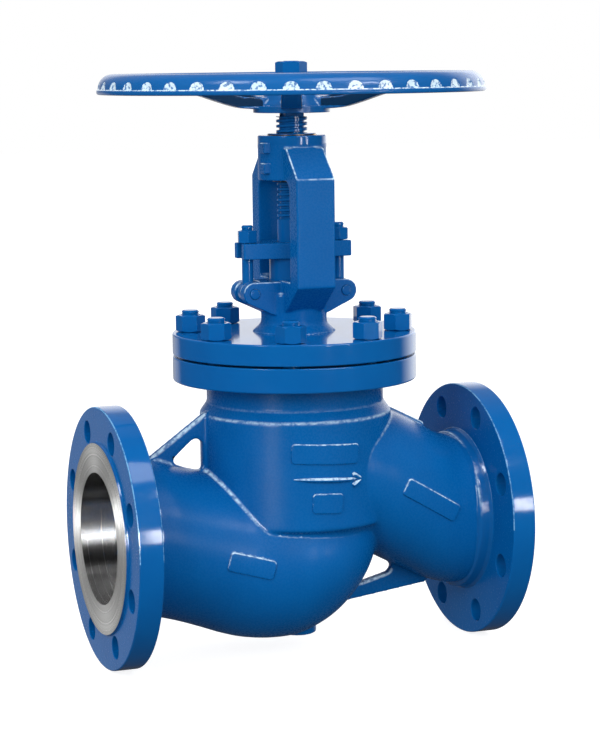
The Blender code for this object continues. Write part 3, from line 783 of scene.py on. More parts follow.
def webs():
    """The inlet web and the outlet web, each with its rounded window, and the flat web on the outlet neck."""
    window = arc((-0.1235, 0.0985), 0.009, 20, 135, 10)
    window += arc((-0.1450, 0.0840), 0.0055, 135, 250, 10)
    window += arc((-0.1220, 0.0765), 0.0070, 250, 360, 10)
    outline = [(-0.090, 0.139), (-0.1120, 0.1365), (-0.212, 0.0655), (-0.212, 0.040), (-0.090, 0.040)]
    inlet = rib(outline, window)
    window = arc((0.1105, -0.0620), 0.0085, -75, 60, 10)
    window += [(0.0970, -0.0400), (0.0760, -0.0350), (0.0600, -0.0810), (0.0790, -0.0790)]
    outline = [(0.020, -0.060), (0.035, -0.1040), (0.059, -0.0995), (0.163, -0.0860), (0.170, -0.060)]
    outlet = rib(outline, window)
    top = [(0.080, 0.145), (0.098, 0.139), (0.158, 0.1095), (0.158, 0.080), (0.080, 0.080)]
    return [inlet, outlet, prism("top", top, "Y", -0.0125, 0.0125)]


def pipe_flange(side):
    """One pipe flange with its rounded hub ring, turned about X."""
    mesh = plug("flange", [
        (HUB_R - 0.007, BACK_X - HUB_L), (HUB_R - 0.0015, BACK_X - 0.014, 0.004),
        (HUB_R, BACK_X - 0.004, 0.004), (HUB_R + 0.0025, BACK_X, 0.002),
        (FLANGE_R, BACK_X, 0.0018), (FLANGE_R, BACK_X + FLANGE_T, 0.0018),
        (RAISED_R + 0.0012, BACK_X + FLANGE_T, 0.001), (RAISED_R, FACE_X, 0.0008)], 160, "X")
    if side < 0:
        mesh.transform(Matrix.Rotation(math.pi, 4, "Z"))
    return mesh


def inlet_passage():
    """The waterway from the inlet port down into the bowl."""
    sections = [(-0.260, 0.000, 0.075, 0.075), (-0.205, 0.000, 0.075, 0.075),
                (-0.170, -0.006, 0.075, 0.073), (-0.140, -0.018, 0.076, 0.068),
                (-0.120, -0.032, 0.078, 0.062), (-0.105, -0.046, 0.080, 0.058),
                (-0.090, -0.062, 0.083, 0.052), (-0.060, -0.062, 0.089, 0.053),
                (-0.020, -0.061, 0.091, 0.052), (0.020, -0.057, 0.088, 0.048),
                (0.045, -0.048, 0.074, 0.038), (0.062, -0.040, 0.050, 0.024)]
    return tube("inlet_passage", sections, 3)


def outlet_passage():
    """The waterway from the chamber over the seat to the outlet port."""
    sections = [(0.030, 0.072, 0.070, 0.045), (0.070, 0.070, 0.080, 0.050), (0.092, 0.061, 0.083, 0.056),
                (0.110, 0.044, 0.082, 0.064), (0.135, 0.023, 0.079, 0.071), (0.165, 0.007, 0.076, 0.074),
                (0.205, 0.000, 0.075, 0.075), (0.260, 0.000, 0.075, 0.075)]
    return tube("outlet_passage", sections, 3)


def seat_opening():
    return plug("seat_opening", [(0.060, -0.060), (SEAT_R + GAP, BRIDGE_Z), (SEAT_R + GAP, FLOOR_Z + 0.002)])


def chamber():
    return cylinder("chamber", CHAMBER_R, FLOOR_Z, 0.230, 120)


def hole(radius, low, high, axis, chamfer=0.0008, segments=40, past=0.010):
    """Cutter for a drilled hole between two faces, with a small chamfer at each."""
    wide = radius + chamfer
    return plug("hole", [
        (wide, low - past), (wide, low), (radius, low + chamfer), (radius, high - chamfer), (wide, high),
        (wide, high + past)], segments, axis)


def relief_line(path, radius, width, height, soft_ends=5):
    """A raised line with round ends on an upright cylinder, through (angle, z) points."""
    steps, sides = 10, 16
    spots = []
    for (a0, z0), (a1, z1) in zip(path, path[1:]):
        for k in range(steps):
            spots.append((a0 + (a1 - a0) * k / steps, z0 + (z1 - z0) * k / steps))
    spots.append(path[-1])
    points = [Vector((*on_circle(radius, a), z)) for a, z in spots]
    sections = []
    last = len(points) - 1
    for i, point in enumerate(points):
        out = Vector((point.x, point.y, 0)).normalized()
        along = (points[min(i + 1, last)] - points[max(i - 1, 0)]).normalized()
        across = out.cross(along)
        share = min(i, last - i, soft_ends) / soft_ends
        size = max(0.15, math.sqrt(1 - (1 - share) ** 2))
        turn = [FULL * k / sides for k in range(sides)]
        wide, tall = width / 2 * size, height * size
        sections.append([point + across * (wide * math.cos(t)) + out * (tall * math.sin(t)) for t in turn])
    return lofted("relief", sections)


def arrow():
    """The flow arrow raised on the barrel's front."""
    width, height = 0.0060, 0.0036
    tail, tip = (math.radians(-112.0), 0.0700), (math.radians(-69.9), 0.0659)
    barb = math.radians(5.8)
    lines = [relief_line([tail, tip], BARREL_R, width, height)]
    for rise in (0.0070, -0.0078):
        lines.append(relief_line([(tip[0] - barb, tip[1] + rise), tip], BARREL_R, width, height, 2))
    return lines


def displaced(mesh, height):
    """A copy of a mesh with its surface moved outwards."""
    skin = placed("skin", mesh.copy())
    push = skin.modifiers.new("push", "DISPLACE")
    push.strength = height
    push.mid_level = 0.0
    return taken(baked(skin))


def pad(skin, centre, outward, along, half_width, half_height):
    """A blank raised pad that follows the casting's skin."""
    block = placed("pad", prism("pad", rectangle(half_width, half_height, PAD_CORNER), "Z", *PAD_DEPTH))
    outward = Vector(outward).normalized()
    along = (Vector(along) - outward * outward.dot(along)).normalized()
    turn = Matrix((along, outward.cross(along), outward)).transposed()
    block.data.transform(Matrix.Translation(centre) @ turn.to_4x4())
    mesh = taken(combine(block, skin.copy(), "INTERSECT"))
    return taken(grown("pad", [mesh], PAD_VOXEL, 4))


def body_look(centre, normal):
    """0 casting, 1 machined rim, 2 bare steel face, 3 bare steel bore, 4 machined face,
    5 bead behind a flange, 6 upper rounding of a flange with a painted highlight."""
    along, slope = abs(centre.x), abs(normal.x)
    from_axis = math.hypot(centre.y, centre.z)
    inward = normal.y * centre.y + normal.z * centre.z < 0
    if along > FACE_X - SLACK and from_axis < RAISED_R:
        return 2
    if along > BORE_LOOK_X and inward and from_axis < HUB_R - 0.004:
        return 3
    if along > BACK_X - SLACK:
        if 0.3 < slope < 0.9 and from_axis > FLANGE_R - 0.003 and centre.z > 0.0:
            return 6
        return 4 if slope > 0.9 else 1
    if along > BACK_X - HUB_L - 0.0005 and from_axis > HUB_R - 0.008:
        return 5
    return 1 if centre.z > COVER_Z[0] - SLACK else 0


def valve_body():
    drain = plug("drain", [(DRAIN_R, DRAIN_Z, 0.002), (DRAIN_R, -0.090)], 64)
    cast = [inlet_and_bowl(), outlet_neck(), barrel(), drain] + webs()
    body = grown("valve_body_cast", cast, BODY_VOXEL, 2)
    cover = plug("cover", [(COVER_R, COVER_Z[0], 0.002), (COVER_R, COVER_Z[1], 0.0015)], 160)
    skin = displaced(body.data, PAD_RISE)
    pads = [pad(skin, *place) for place in PADS]
    bpy.data.meshes.remove(skin)
    for mesh in [cover, pipe_flange(-1), pipe_flange(1)] + pads + arrow():
        combine(body, mesh, "UNION")
    for mesh in (inlet_passage(), seat_opening(), chamber(), outlet_passage()):
        combine(body, mesh)
    for low, high in ((-BACK_X - FLANGE_T, -BACK_X), (BACK_X, BACK_X + FLANGE_T)):
        combine(body, ring_of(lambda: hole(BOLT_HOLE_R, low, high, "X"), BOLTS, BOLT_CIRCLE_R, "X"))
    combine(body, ring_of(lambda: hole(STUD_HOLE_R, *COVER_Z, "Z", 0.0004), BOLTS, STUD_CIRCLE_R))
    looks = (CAST, SMOOTH, STEEL_X, STEEL_BORE, FACE, BEAD, FLANGE_EDGE_HIGHLIGHT)
    settled(shaded(body, 30), looks, "valve_body", choose=body_look)


# ---------------------------------------------------------------- bonnet and yoke

def yoke_frame():
    """The two legs, seen along X: foot, outer faces, sloped shoulders."""
    right = [(0.035, 0.2515), (LEG_Y[1], 0.2810), (LEG_Y[1], CREASE_Z), (0.0400, 0.4370)]
    return prism("yoke", mirrored(right), "X", -LEG_W / 2, LEG_W / 2)


def yoke_window():
    corner = 0.012
    top = arc((LEG_Y[0] - corner, WINDOW_TOP_Z - corner), corner, 0, 90, 8)
    return prism("window", mirrored([(LEG_Y[0], YOKE_BASE_Z)] + top), "X", -0.060, 0.060)


def lug_block():
    """Both lugs in one bar across the yoke's foot, seen along Y."""
    right = [(0.0330, 0.2470)] + arc((LUG_X, LUG_Z), LUG_R, -62, 90, 20)
    return prism("lugs", mirrored(right), "Y", -LUG_Y, LUG_Y)


def box_between(low, high):
    """A plain block cutter between two corners."""
    (x0, y0, z0), (x1, y1, z1) = low, high
    return lofted("box", [[(x0, y0, z), (x1, y0, z), (x1, y1, z), (x0, y1, z)] for z in (z0, z1)])


def yoke_casting():
    """Legs, lugs, throat and top boss, grown together and cut open."""
    frame_piece = placed("frame", yoke_frame())
    combine(frame_piece, lug_block(), "UNION")
    combine(frame_piece, yoke_window())
    for side in (-1, 1):
        low, high = sorted((side * 0.0445, side * 0.080))
        combine(frame_piece, box_between((low, -SLOT_W / 2, 0.235), (high, SLOT_W / 2, 0.300)))
    throat = plug("throat", [
        (THROAT_R + 0.012, BONNET_Z[0] + 0.004), (THROAT_R + 0.010, BONNET_Z[1] + 0.0005, 0.001),
        (THROAT_R, BONNET_Z[1] + 0.010, 0.008), (THROAT_R, 0.270)])
    top = cylinder("top", YOKE_TOP_R, WINDOW_TOP_Z, YOKE_TOP_Z - CAP_H)
    return grown("bonnet_cast", [taken(frame_piece), throat, top], YOKE_VOXEL, 4)


def bonnet_look(centre, normal):
    """0 casting, 1 machined and painted, 2 bare steel."""
    in_box = math.hypot(centre.x, centre.y) < BOX_R + SLACK and centre.z < BOX_LOOK_Z
    if centre.z < BONNET_Z[0] + 0.0001 or in_box:
        return 2
    return int(centre.z < BONNET_Z[1] + SLACK or centre.z > YOKE_TOP_Z - CAP_H)


def bonnet():
    piece = yoke_casting()
    combine(piece, plug("base", [
        (SPIGOT_R, SPIGOT_Z, 0.001), (SPIGOT_R, BONNET_Z[0]), (COVER_R, BONNET_Z[0], 0.0015),
        (COVER_R, BONNET_Z[1], 0.002)], 160), "UNION")
    cap = plug("cap", [(YOKE_TOP_R, YOKE_TOP_Z - CAP_H - 0.002), (YOKE_TOP_R, YOKE_TOP_Z, 0.0018)], 120)
    combine(piece, cap, "UNION")
    for z in (0.4370, 0.4140):
        block = softened(box_between((-0.0415, -0.0200, z - 0.0060), (-0.030, -0.0060, z + 0.0060)), 0.0012)
        combine(piece, block, "UNION")
    for side in (-1, 1):
        pin = cylinder("pin_hole", PIN_R + GAP, -0.05, 0.05, 48, "Y")
        pin.transform(Matrix.Translation((side * LUG_X, 0, LUG_Z)))
        combine(piece, pin)
    combine(piece, plug("bores", [
        (BUSH_R + GAP, 0.17), (BUSH_R + GAP, BUSH_Z[1] + GAP), (STEM_BORE_R, BUSH_Z[1] + GAP),
        (STEM_BORE_R, BOX_FLOOR_Z),
        (BOX_R, BOX_FLOOR_Z), (BOX_R, YOKE_BASE_Z - 0.001), (BOX_R + 0.002, YOKE_BASE_Z + 0.001),
        (BOX_R + 0.002, 0.30)]))
    small, large = YOKE_NUT_R + YOKE_NUT_FIT, YOKE_NUT_HEAD_R + YOKE_NUT_FIT
    step, chamfer = YOKE_NUT_Z[1] - GAP, 0.0008
    combine(piece, plug("nut_seat", [
        (small, 0.39), (small, step), (large, step), (large, YOKE_TOP_Z - chamfer),
        (large + chamfer, YOKE_TOP_Z), (large + chamfer, 0.47)]))
    combine(piece, ring_of(lambda: hole(BONNET_HOLE_R, *BONNET_Z, "Z", 0.0004), BOLTS, STUD_CIRCLE_R))
    settled(shaded(piece, 32), (YOKE, SMOOTH, STEEL_Z), "bonnet", choose=bonnet_look)


# ---------------------------------------------------------------- fasteners and small turned pieces

def nut_mesh(name, across_flats, height, hole_r, phase=0.0):
    """A hexagon nut with both ends chamfered, standing on z = 0."""
    corner = across_flats / math.sqrt(3)
    corners = [(*on_circle(corner, phase + FULL * i / 6), 0.0010) for i in range(6)]
    nut = placed(name, prism(name, corners, "Z", 0, height))
    flat, reach = across_flats / 2 * 0.96, corner * 1.02
    slope = (reach - flat) * 0.5
    combine(nut, plug("lens", [
        (flat, 0), (reach, slope), (reach, height - slope), (flat, height, 0.0006)]), "INTERSECT")
    return taken(shaded(combine(nut, hole(hole_r, 0, height, "Z", 0.001, 48)), 25))


def screw_end(radius, low, high, pitch, depth):
    """Profile points of a threaded end with a rounded tip, from low up to high."""
    points = [(radius, low)]
    count = int((high - low - 0.0025) / pitch)
    for i in range(count):
        z = low + 0.0005 + i * pitch
        points += [(radius, z), (radius - depth, z + pitch * 0.5), (radius, z + pitch * 0.95)]
    return points + [(radius, high - 0.0015), (radius - 0.0015, high, 0.0008)]


def bonnet_fasteners():
    """Eight studs screwed into the body, each with its nut on the bonnet."""
    thread = screw_end(STUD_R, BONNET_Z[1] + NUT_H, STUD_Z[1], *FINE_THREAD)
    stud = plug("stud", [(STUD_R, STUD_Z[0], 0.001)] + thread, 48)
    nut = nut_mesh("bonnet_nut", NUT_AF, NUT_H, NUT_BORE_R)
    for i in range(BOLTS):
        t = FULL * (i + 0.5) / BOLTS
        spot = Matrix.Translation((*on_circle(STUD_CIRCLE_R, t), 0))
        turn = Matrix.Translation((0, 0, BONNET_Z[1] + GAP)) @ Matrix.Rotation(t + 0.35 * (i % 3), 4, "Z")
        for name, mesh, move in (("bonnet_stud", stud, spot), ("bonnet_nut", nut, spot @ turn)):
            mesh = mesh.copy()
            mesh.transform(move)
            one_look(f"{name}_{i + 1}", mesh)


def seats_and_seals():
    """Gasket, seat ring, disc, disc nut and backseat bush."""
    inner, low, high = SPIGOT_R + 0.0005, COVER_Z[1] + GAP, BONNET_Z[0] - GAP
    one_look("bonnet_gasket", turned("gasket", [
        (inner, low), (GASKET_R, low, 0.0004), (GASKET_R, high, 0.0004), (inner, high)]),
        GRAPHITE, name="gasket_piece")
    one_look("seat_ring", turned("seat_ring", [
        (BORE_R, BRIDGE_Z), (SEAT_R, BRIDGE_Z), (SEAT_R, SEAT_TOP_Z, 0.0012), (BORE_R + 0.003, SEAT_TOP_Z),
        (BORE_R, SEAT_TOP_Z - 0.003)]), STEEL_Z)
    low = SEAT_TOP_Z + GAP
    top = low + DISC_H
    head, bore = HEAD_R + 0.0006, DISC_BORE_R
    shoulder, mouth = DISC_BORE_Z
    one_look("disc", plug("disc", [
        (BORE_R - 0.006, low - 0.004, 0.001), (BORE_R - 0.002, low), (DISC_R, low, 0.002),
        (DISC_R, top, 0.004), (0.052, top + 0.003, 0.006), (DISC_NECK_R, top + 0.014, 0.004),
        (DISC_NECK_R, mouth, 0.001), (bore, mouth), (bore, shoulder), (head, shoulder),
        (head, HEAD_Z[0] - GAP)]), STEEL_Z, "plug")
    one_look("disc_nut", turned("disc_nut", [
        (STEM_BORE_R, shoulder + GAP), (bore - GAP, shoulder + GAP), (bore - GAP, mouth + GAP),
        (DISC_NUT_R, mouth + GAP), (DISC_NUT_R, DISC_NUT_TOP_Z, 0.001),
        (STEM_BORE_R, DISC_NUT_TOP_Z, 0.0005)]),
        STEEL_Z, "plug")
    low, top = BUSH_Z
    one_look("backseat_bush", turned("backseat_bush", [
        (STEM_BORE_R, low, 0.001), (BUSH_R, low, 0.0005), (BUSH_R, top), (STEM_BORE_R, top)]),
        STEEL_Z)


def packing():
    """The washer and the packing rings, each ring with a mesh of its own."""
    low = BOX_FLOOR_Z + GAP
    top = low + WASHER_H
    one_look("packing_washer", turned("packing_washer", [
        (STEM_BORE_R, low), (RING_R, low, 0.0003), (RING_R, top, 0.0003), (STEM_BORE_R, top)]),
        STEEL_Z)
    foot = low + WASHER_H + GAP
    stack = RING_COUNT * (RING_H + GAP)
    for i in range(RING_COUNT):
        z = foot + i * (RING_H + GAP)
        corners = [(STEM_BORE_R, z), (RING_R, z), (RING_R, z + RING_H), (STEM_BORE_R, z + RING_H)]
        ring_mesh = turned("packing_ring", [(*corner, 0.0012) for corner in corners])
        piece = one_look(f"packing_ring_{i + 1}", ring_mesh, GRAPHITE)
        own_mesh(piece)
    return foot + stack


def gland(nose_z):
    """The follower bush that presses the packing, and the two-bolt flange on top of it."""
    lip_z = GLAND_Z[0] - GAP
    one_look("gland_follower", turned("gland_follower", [
        (STEM_BORE_R, nose_z), (FOLLOWER_R, nose_z, 0.0006), (FOLLOWER_R, lip_z, 0.0006),
        (STEM_BORE_R, lip_z)]), body="gland")
    half, slot = GLAND_HALF_X, GLAND_SLOT_R
    wide, rounding = 0.017, 0.002
    side = [(half, -wide, rounding), (half, -slot)]
    side += arc((LUG_X, 0), slot, 270, 90, 12)
    side += [(half, slot), (half, wide, rounding), (0.040, 0.020)]
    side += arc((0, 0), 0.033, 55, 125, 16)
    turn = [(-x, -y, *rest) for x, y, *rest in side]
    plate = placed("gland_flange_piece", softened(prism("plate", side + turn, "Z", *GLAND_Z), 0.0014))
    combine(plate, hole(STEM_BORE_R, *GLAND_Z, "Z", 0.001, 96, 0.011))
    settled(shaded(plate, 30), (PLAIN,), "gland_flange", "gland")


def gland_fasteners():
    """Eye bolts on their hinge pins, with the gland nuts."""
    bolt = placed("bolt", turned("eye", [
        (PIN_R + GAP, -EYE_SIDE, 0.0006), (EYE_R, -EYE_SIDE, 0.0010), (EYE_R, EYE_SIDE, 0.0010),
        (PIN_R + GAP, EYE_SIDE, 0.0006)], 64, "Y"))
    thread = screw_end(EYE_SHANK_R, GLAND_Z[1] + GLAND_NUT_H - LUG_Z, EYE_BOLT_L, *EYE_THREAD)
    shank = plug("shank", [(EYE_SHANK_R, 0.0080)] + thread, 48)
    bolt_mesh = taken(shaded(combine(bolt, shank, "UNION"), 32))
    pin = plug("pin", [(PIN_R, -PIN_HALF_Y, 0.0012), (PIN_R, PIN_HALF_Y, 0.0012)], 48, "Y")
    nut = nut_mesh("gland_nut", GLAND_NUT_AF, GLAND_NUT_H, EYE_SHANK_R + GAP + 0.0002, 0.3)
    for side, word in ((-1, "left"), (1, "right")):
        for name, mesh, z, body in (("eye_bolt", bolt_mesh, LUG_Z, "valve"),
                                    ("hinge_pin", pin, LUG_Z, "valve"),
                                    ("gland_nut", nut, GLAND_Z[1] + GAP, f"{word}_nut")):
            mesh = mesh.copy()
            mesh.transform(Matrix.Translation((side * LUG_X, 0, z)))
            one_look(f"{name}_{word}", mesh, body=body)


def yoke_nut():
    """Bronze nut of the stem; its exposed top is painted with the rest."""
    low, neck, top = YOKE_NUT_Z
    mesh = turned("yoke_nut", [
        (STEM_BORE_R, low, 0.0008), (YOKE_NUT_R, low, 0.0008), (YOKE_NUT_R, neck), (YOKE_NUT_HEAD_R, neck),
        (YOKE_NUT_HEAD_R, top, 0.0010), (STEM_BORE_R, top, 0.0008)])
    settled(placed("yoke_nut_piece", mesh), (BRONZE, SMOOTH), "yoke_nut",
            choose=lambda centre, normal: int(centre.z > YOKE_TOP_Z - 0.0005))


# ---------------------------------------------------------------- stem

def thread_mesh(segments=64):
    """A length of trapezoidal thread, closed at each end by a fan to a point on the axis."""
    z0 = THREAD_Z[0] - PITCH
    turns = round((THREAD_Z[1] - THREAD_Z[0]) / PITCH) + 2
    crest, root = STEM_R, STEM_R - THREAD_DEPTH
    shape = [(0.00, root), (0.28, root), (0.31, root + 0.0004), (0.40, crest - 0.0004), (0.44, crest),
             (0.86, crest), (0.90, crest - 0.0004), (0.98, root + 0.0004)]
    rows = []
    for turn in range(turns):
        for share, radius in shape:
            row = []
            for i in range(segments):
                t = FULL * i / segments
                height = z0 + PITCH * (turn + share + i / segments)
                row.append((*on_circle(radius, t), height))
            rows.append(row)
    step = len(shape)
    bm = bmesh.new()
    grid = [ring(bm, row) for row in rows]
    last = len(grid) - step - 1
    for k in range(last):
        for i in range(segments - 1):
            bm.faces.new((grid[k][i], grid[k][i + 1], grid[k + 1][i + 1], grid[k + 1][i]))
        i = segments - 1
        bm.faces.new((grid[k][i], grid[k + step][0], grid[k + 1 + step][0], grid[k + 1][i]))
    for k, tip_z in ((0, rows[0][0][2] - 0.02), (last, rows[-1][-1][2] + 0.02)):
        rim = grid[k] + [grid[k + j][0] for j in range(step, 0, -1)]
        join_rings(bm, rim, ring(bm, [(0, 0, tip_z)]))
    return finish_mesh(bm, "thread")


def stem_look(centre, normal):
    """0 painted where it stood in the open when the valve was painted, 1 bare steel."""
    in_window = GLAND_Z[1] - 0.0005 < centre.z < YOKE_NUT_Z[0]
    return 0 if in_window or centre.z > YOKE_NUT_Z[2] else 1


def stem():
    """Head, plain shank, screwed length, square and top screw."""
    piece = placed("stem_piece", thread_mesh())
    combine(piece, cylinder("trim", 0.03, *THREAD_Z, 48), "INTERSECT")
    top_of_shank = THREAD_Z[0] + 0.001
    combine(piece, plug("shank", [
        (HEAD_R, HEAD_Z[0], 0.001), (HEAD_R, HEAD_Z[1], 0.001), (STEM_R, HEAD_Z[1]),
        (STEM_R, top_of_shank, 0.0008),
        (0.010, top_of_shank + 0.001)]), "UNION")
    square = rectangle(SQUARE / 2, SQUARE / 2, 0.001)
    combine(piece, prism("square", square, "Z", THREAD_Z[1] - 0.001, WHEEL_TOP_Z - 0.002), "UNION")
    screw = screw_end(STUD_R, 0.5260, NUT_TOP_Z, *FINE_THREAD)
    combine(piece, plug("screw", [(STUD_R, 0.500)] + screw, 48), "UNION")
    sliced(shaded(piece, 32), (GLAND_Z[1], YOKE_NUT_Z[0] - 0.0005, YOKE_NUT_Z[2] + 0.0005))
    settled(piece, (SMOOTH, STEEL_Z), "stem", "spindle", stem_look)


# ---------------------------------------------------------------- handwheel

def rim_radius(z):
    """Outer radius of the rim above its lip: nearly upright, then a round shoulder."""
    base = LEDGE_Z - 0.001
    share = min(1.0, max(0.0, (z - base) / (WHEEL_Z[1] - base)))
    return RIM_TOP_R + RIM_SWELL * math.sqrt(1 - share ** 2.2)


def rim_rows(turn_share):
    """The rim's outline at one place round it; turn_share runs 0 to 1 across one scallop."""
    low, high = WHEEL_Z
    across = abs(turn_share - 0.5) / SCALLOP_SHARE
    arch = SCALLOP_H * math.sqrt(max(0.0, 1 - across ** 2)) if across < 1 else 0.0
    rise = max(0.0018, arch)
    inner = WHEEL_R - RIM_W
    top_of_cove = LEDGE_Z + rise
    depth = WHEEL_R - rim_radius(top_of_cove)
    rows = [(inner, low + 0.006), (inner + 0.0012, low + 0.0022), (inner + 0.004, low + 0.0004),
            (inner + 0.008, low),
            (WHEEL_R - 0.0022, low), (WHEEL_R - 0.0007, low + 0.0006), (WHEEL_R, low + 0.0020),
            (WHEEL_R, LEDGE_Z - 0.0014), (WHEEL_R - 0.0004, LEDGE_Z - 0.0004)]
    cove = 7
    for k in range(cove + 1):
        t = math.pi / 2 * k / cove
        rows.append((WHEEL_R - 0.0010 - (depth - 0.0010) * math.sin(t), LEDGE_Z + rise * (1 - math.cos(t))))
    shoulder = 14
    for k in range(1, shoulder + 1):
        t = (k / shoulder) ** 0.8
        z = top_of_cove + (high - top_of_cove) * math.sin(t * math.pi / 2)
        rows.append((rim_radius(z), z))
    return rows + [(inner + 0.004, high), (inner + 0.0012, high - 0.0012), (inner, high - 0.004)]


def rim_mesh():
    per = 24
    count = SCALLOPS * per
    bm = bmesh.new()
    columns = []
    for i in range(count):
        t = SPOKE_START + FULL * (i / per - 0.5) / SCALLOPS
        rows = rim_rows((i % per) / per)
        columns.append(ring(bm, [(*on_circle(r, t), z) for r, z in rows]))
    for i in range(count):
        join_rings(bm, columns[i], columns[(i + 1) % count])
    return finish_mesh(bm, "rim", 40)


def spoke_mesh(angle):
    """One dished spoke from the hub up to the rim."""
    first, last = SPOKE_X
    path = [(first, 0.4805), (0.058, 0.4818), (0.078, 0.4865), (0.112, 0.4975), (0.140, 0.5038),
            (0.203, 0.5060)]
    sections = []
    for r, z in between(path, 4):
        w = SPOKE_W / 2 * (1.0 - SPOKE_TAPER * (r - first) / (last - first))
        top = w * 0.85
        sections.append([(r, -w, z), (r, w, z), (r, top, z + SPOKE_T), (r, -top, z + SPOKE_T)])
    mesh = lofted("spoke", sections)
    mesh.transform(Matrix.Rotation(angle, 4, "Z"))
    return mesh


def wheel_look(centre, normal):
    """0 enamel, 1 flanks of the spokes in the rim's shade, painted dark, 2 a painted highlight in and under
    the scallops.
    """
    from_axis = math.hypot(centre.x, centre.y)
    on_spoke = 0.040 < from_axis < WHEEL_R - RIM_W - 0.001 and centre.z > COLLAR_Z + SLACK
    if on_spoke and -0.75 < normal.z < 0.5:
        return 1
    in_scallop = from_axis < rim_radius(centre.z) - SLACK and centre.z < LEDGE_Z + SCALLOP_H
    on_ledge = centre.z < LEDGE_Z + 0.0012 and normal.z > 0.3
    outward = normal.x * centre.x + normal.y * centre.y > 0
    outside = from_axis > RIM_TOP_R + 0.0015 and centre.z > LEDGE_Z - 0.0008 and outward
    return 2 if outside and (in_scallop or on_ledge) else 0


def handwheel():
    hub = plug("hub", [
        (0.038, 0.4800), (0.038, 0.4850), (0.034, 0.490), (0.030, 0.500), (0.028, WHEEL_TOP_Z, 0.001)])
    spokes = [spoke_mesh(SPOKE_START + FULL * i / SPOKES) for i in range(SPOKES)]
    wheel = grown("handwheel_piece", [hub] + spokes, WHEEL_VOXEL, 2)
    foot = WHEEL_HUB_Z - 0.0005
    combine(wheel, plug("collar", [(WHEEL_HUB_R, foot, 0.0010), (WHEEL_HUB_R, COLLAR_Z, 0.0012)]), "UNION")
    combine(wheel, rim_mesh(), "UNION")
    half = SQUARE / 2 + GAP
    combine(wheel, prism("square_hole", rectangle(half, half), "Z", 0.460, 0.540))
    settled(shaded(wheel, 38), (WHEEL, SHADE, SCALLOP_HIGHLIGHT), "handwheel", "spindle", choose=wheel_look)


def handwheel_nut():
    height = NUT_TOP_Z - WHEEL_TOP_Z - GAP - 0.0005
    mesh = nut_mesh("handwheel_nut", WHEEL_NUT_AF, height, NUT_BORE_R, WHEEL_NUT_TURN)
    mesh.transform(Matrix.Translation((0, 0, WHEEL_TOP_Z + GAP)))
    one_look("handwheel_nut", mesh, body="spindle")


# ---------------------------------------------------------------- stage, light and camera

FLOOR_TOP = cad_box[0][2] - 0.0002
FLOOR_SIDE = 30.0
BORE_SPOT_ANGLE = math.radians(13)

# Where the studio is bright in the reflections: behind and low to the left, level behind, above behind
STEEL_GLOW = (-0.14, 0.95, -0.25)
RIM_GLOW = (0.80, 0.58, 0.10)
BACK_GLOW = (0.34, 0.93, 0.14)
SKY_GLOW = (0.20, 0.80, 0.55)


def floor():
    """A plain pale floor under the flanges."""
    bm = bmesh.new()
    bmesh.ops.create_grid(bm, x_segments=2, y_segments=2, size=FLOOR_SIDE / 2)
    piece = placed("floor", finish_mesh(bm, "floor"))
    piece.location.z = FLOOR_TOP
    mat, tree, shader, place = new_material("pale_floor")
    shade = mapped(tree, noise(tree, place, 3.0), 0.3, 0.7, 0.46, 0.50)
    tree.links.new(shade, shader.inputs["Roughness"])
    shader.inputs["Base Color"].default_value = (0.40, 0.40, 0.40, 1.0)
    shader.inputs["Specular IOR Level"].default_value = 0.0
    shader.inputs["Emission Color"].default_value = (1.0, 1.0, 1.0, 1.0)
    shader.inputs["Emission Strength"].default_value = 0.86
    piece.data.materials.append(mat)
    piece.visible_diffuse = False
    piece.visible_glossy = False


def lamp(name, kind, place, aim, power):
    """A lamp turned towards a point, which the camera does not see."""
    data = bpy.data.lights.new(name, kind)
    data.energy = power
    obj = placed(name, data)
    obj.location = place
    obj.rotation_euler = (Vector(aim) - Vector(place)).to_track_quat("-Z", "Y").to_euler()
    obj.visible_camera = False
    return obj


def softbox(name, place, aim, width, height, radiance, shine=True):
    """A rectangular lamp of a given radiance. It either fills or shines."""
    obj = lamp(name, "AREA", place, aim, radiance * math.pi * width * height)
    obj.data.shape = "RECTANGLE"
    obj.data.size, obj.data.size_y = width, height
    obj.visible_glossy = shine
    obj.visible_diffuse = not shine


def bore_spot(place, aim, power):
    """A narrow lamp that only shines into the inlet port."""
    obj = lamp("bore_spot", "SPOT", place, aim, power)
    obj.data.spot_size = BORE_SPOT_ANGLE
    obj.data.spot_blend = 0.5
    obj.data.shadow_soft_size = 0.16
    obj.visible_diffuse = False


def glow(tree, direction, facing, inner, outer, level):
    """A soft bright patch of the studio round one direction, between two angles from it."""
    dot = node(tree, "ShaderNodeVectorMath", operation="DOT_PRODUCT")
    tree.links.new(direction, dot.inputs[0])
    dot.inputs[1].default_value = Vector(facing).normalized()
    low, high = math.cos(math.radians(outer)), math.cos(math.radians(inner))
    return mapped(tree, dot.outputs["Value"], low, high, 0.0, level)


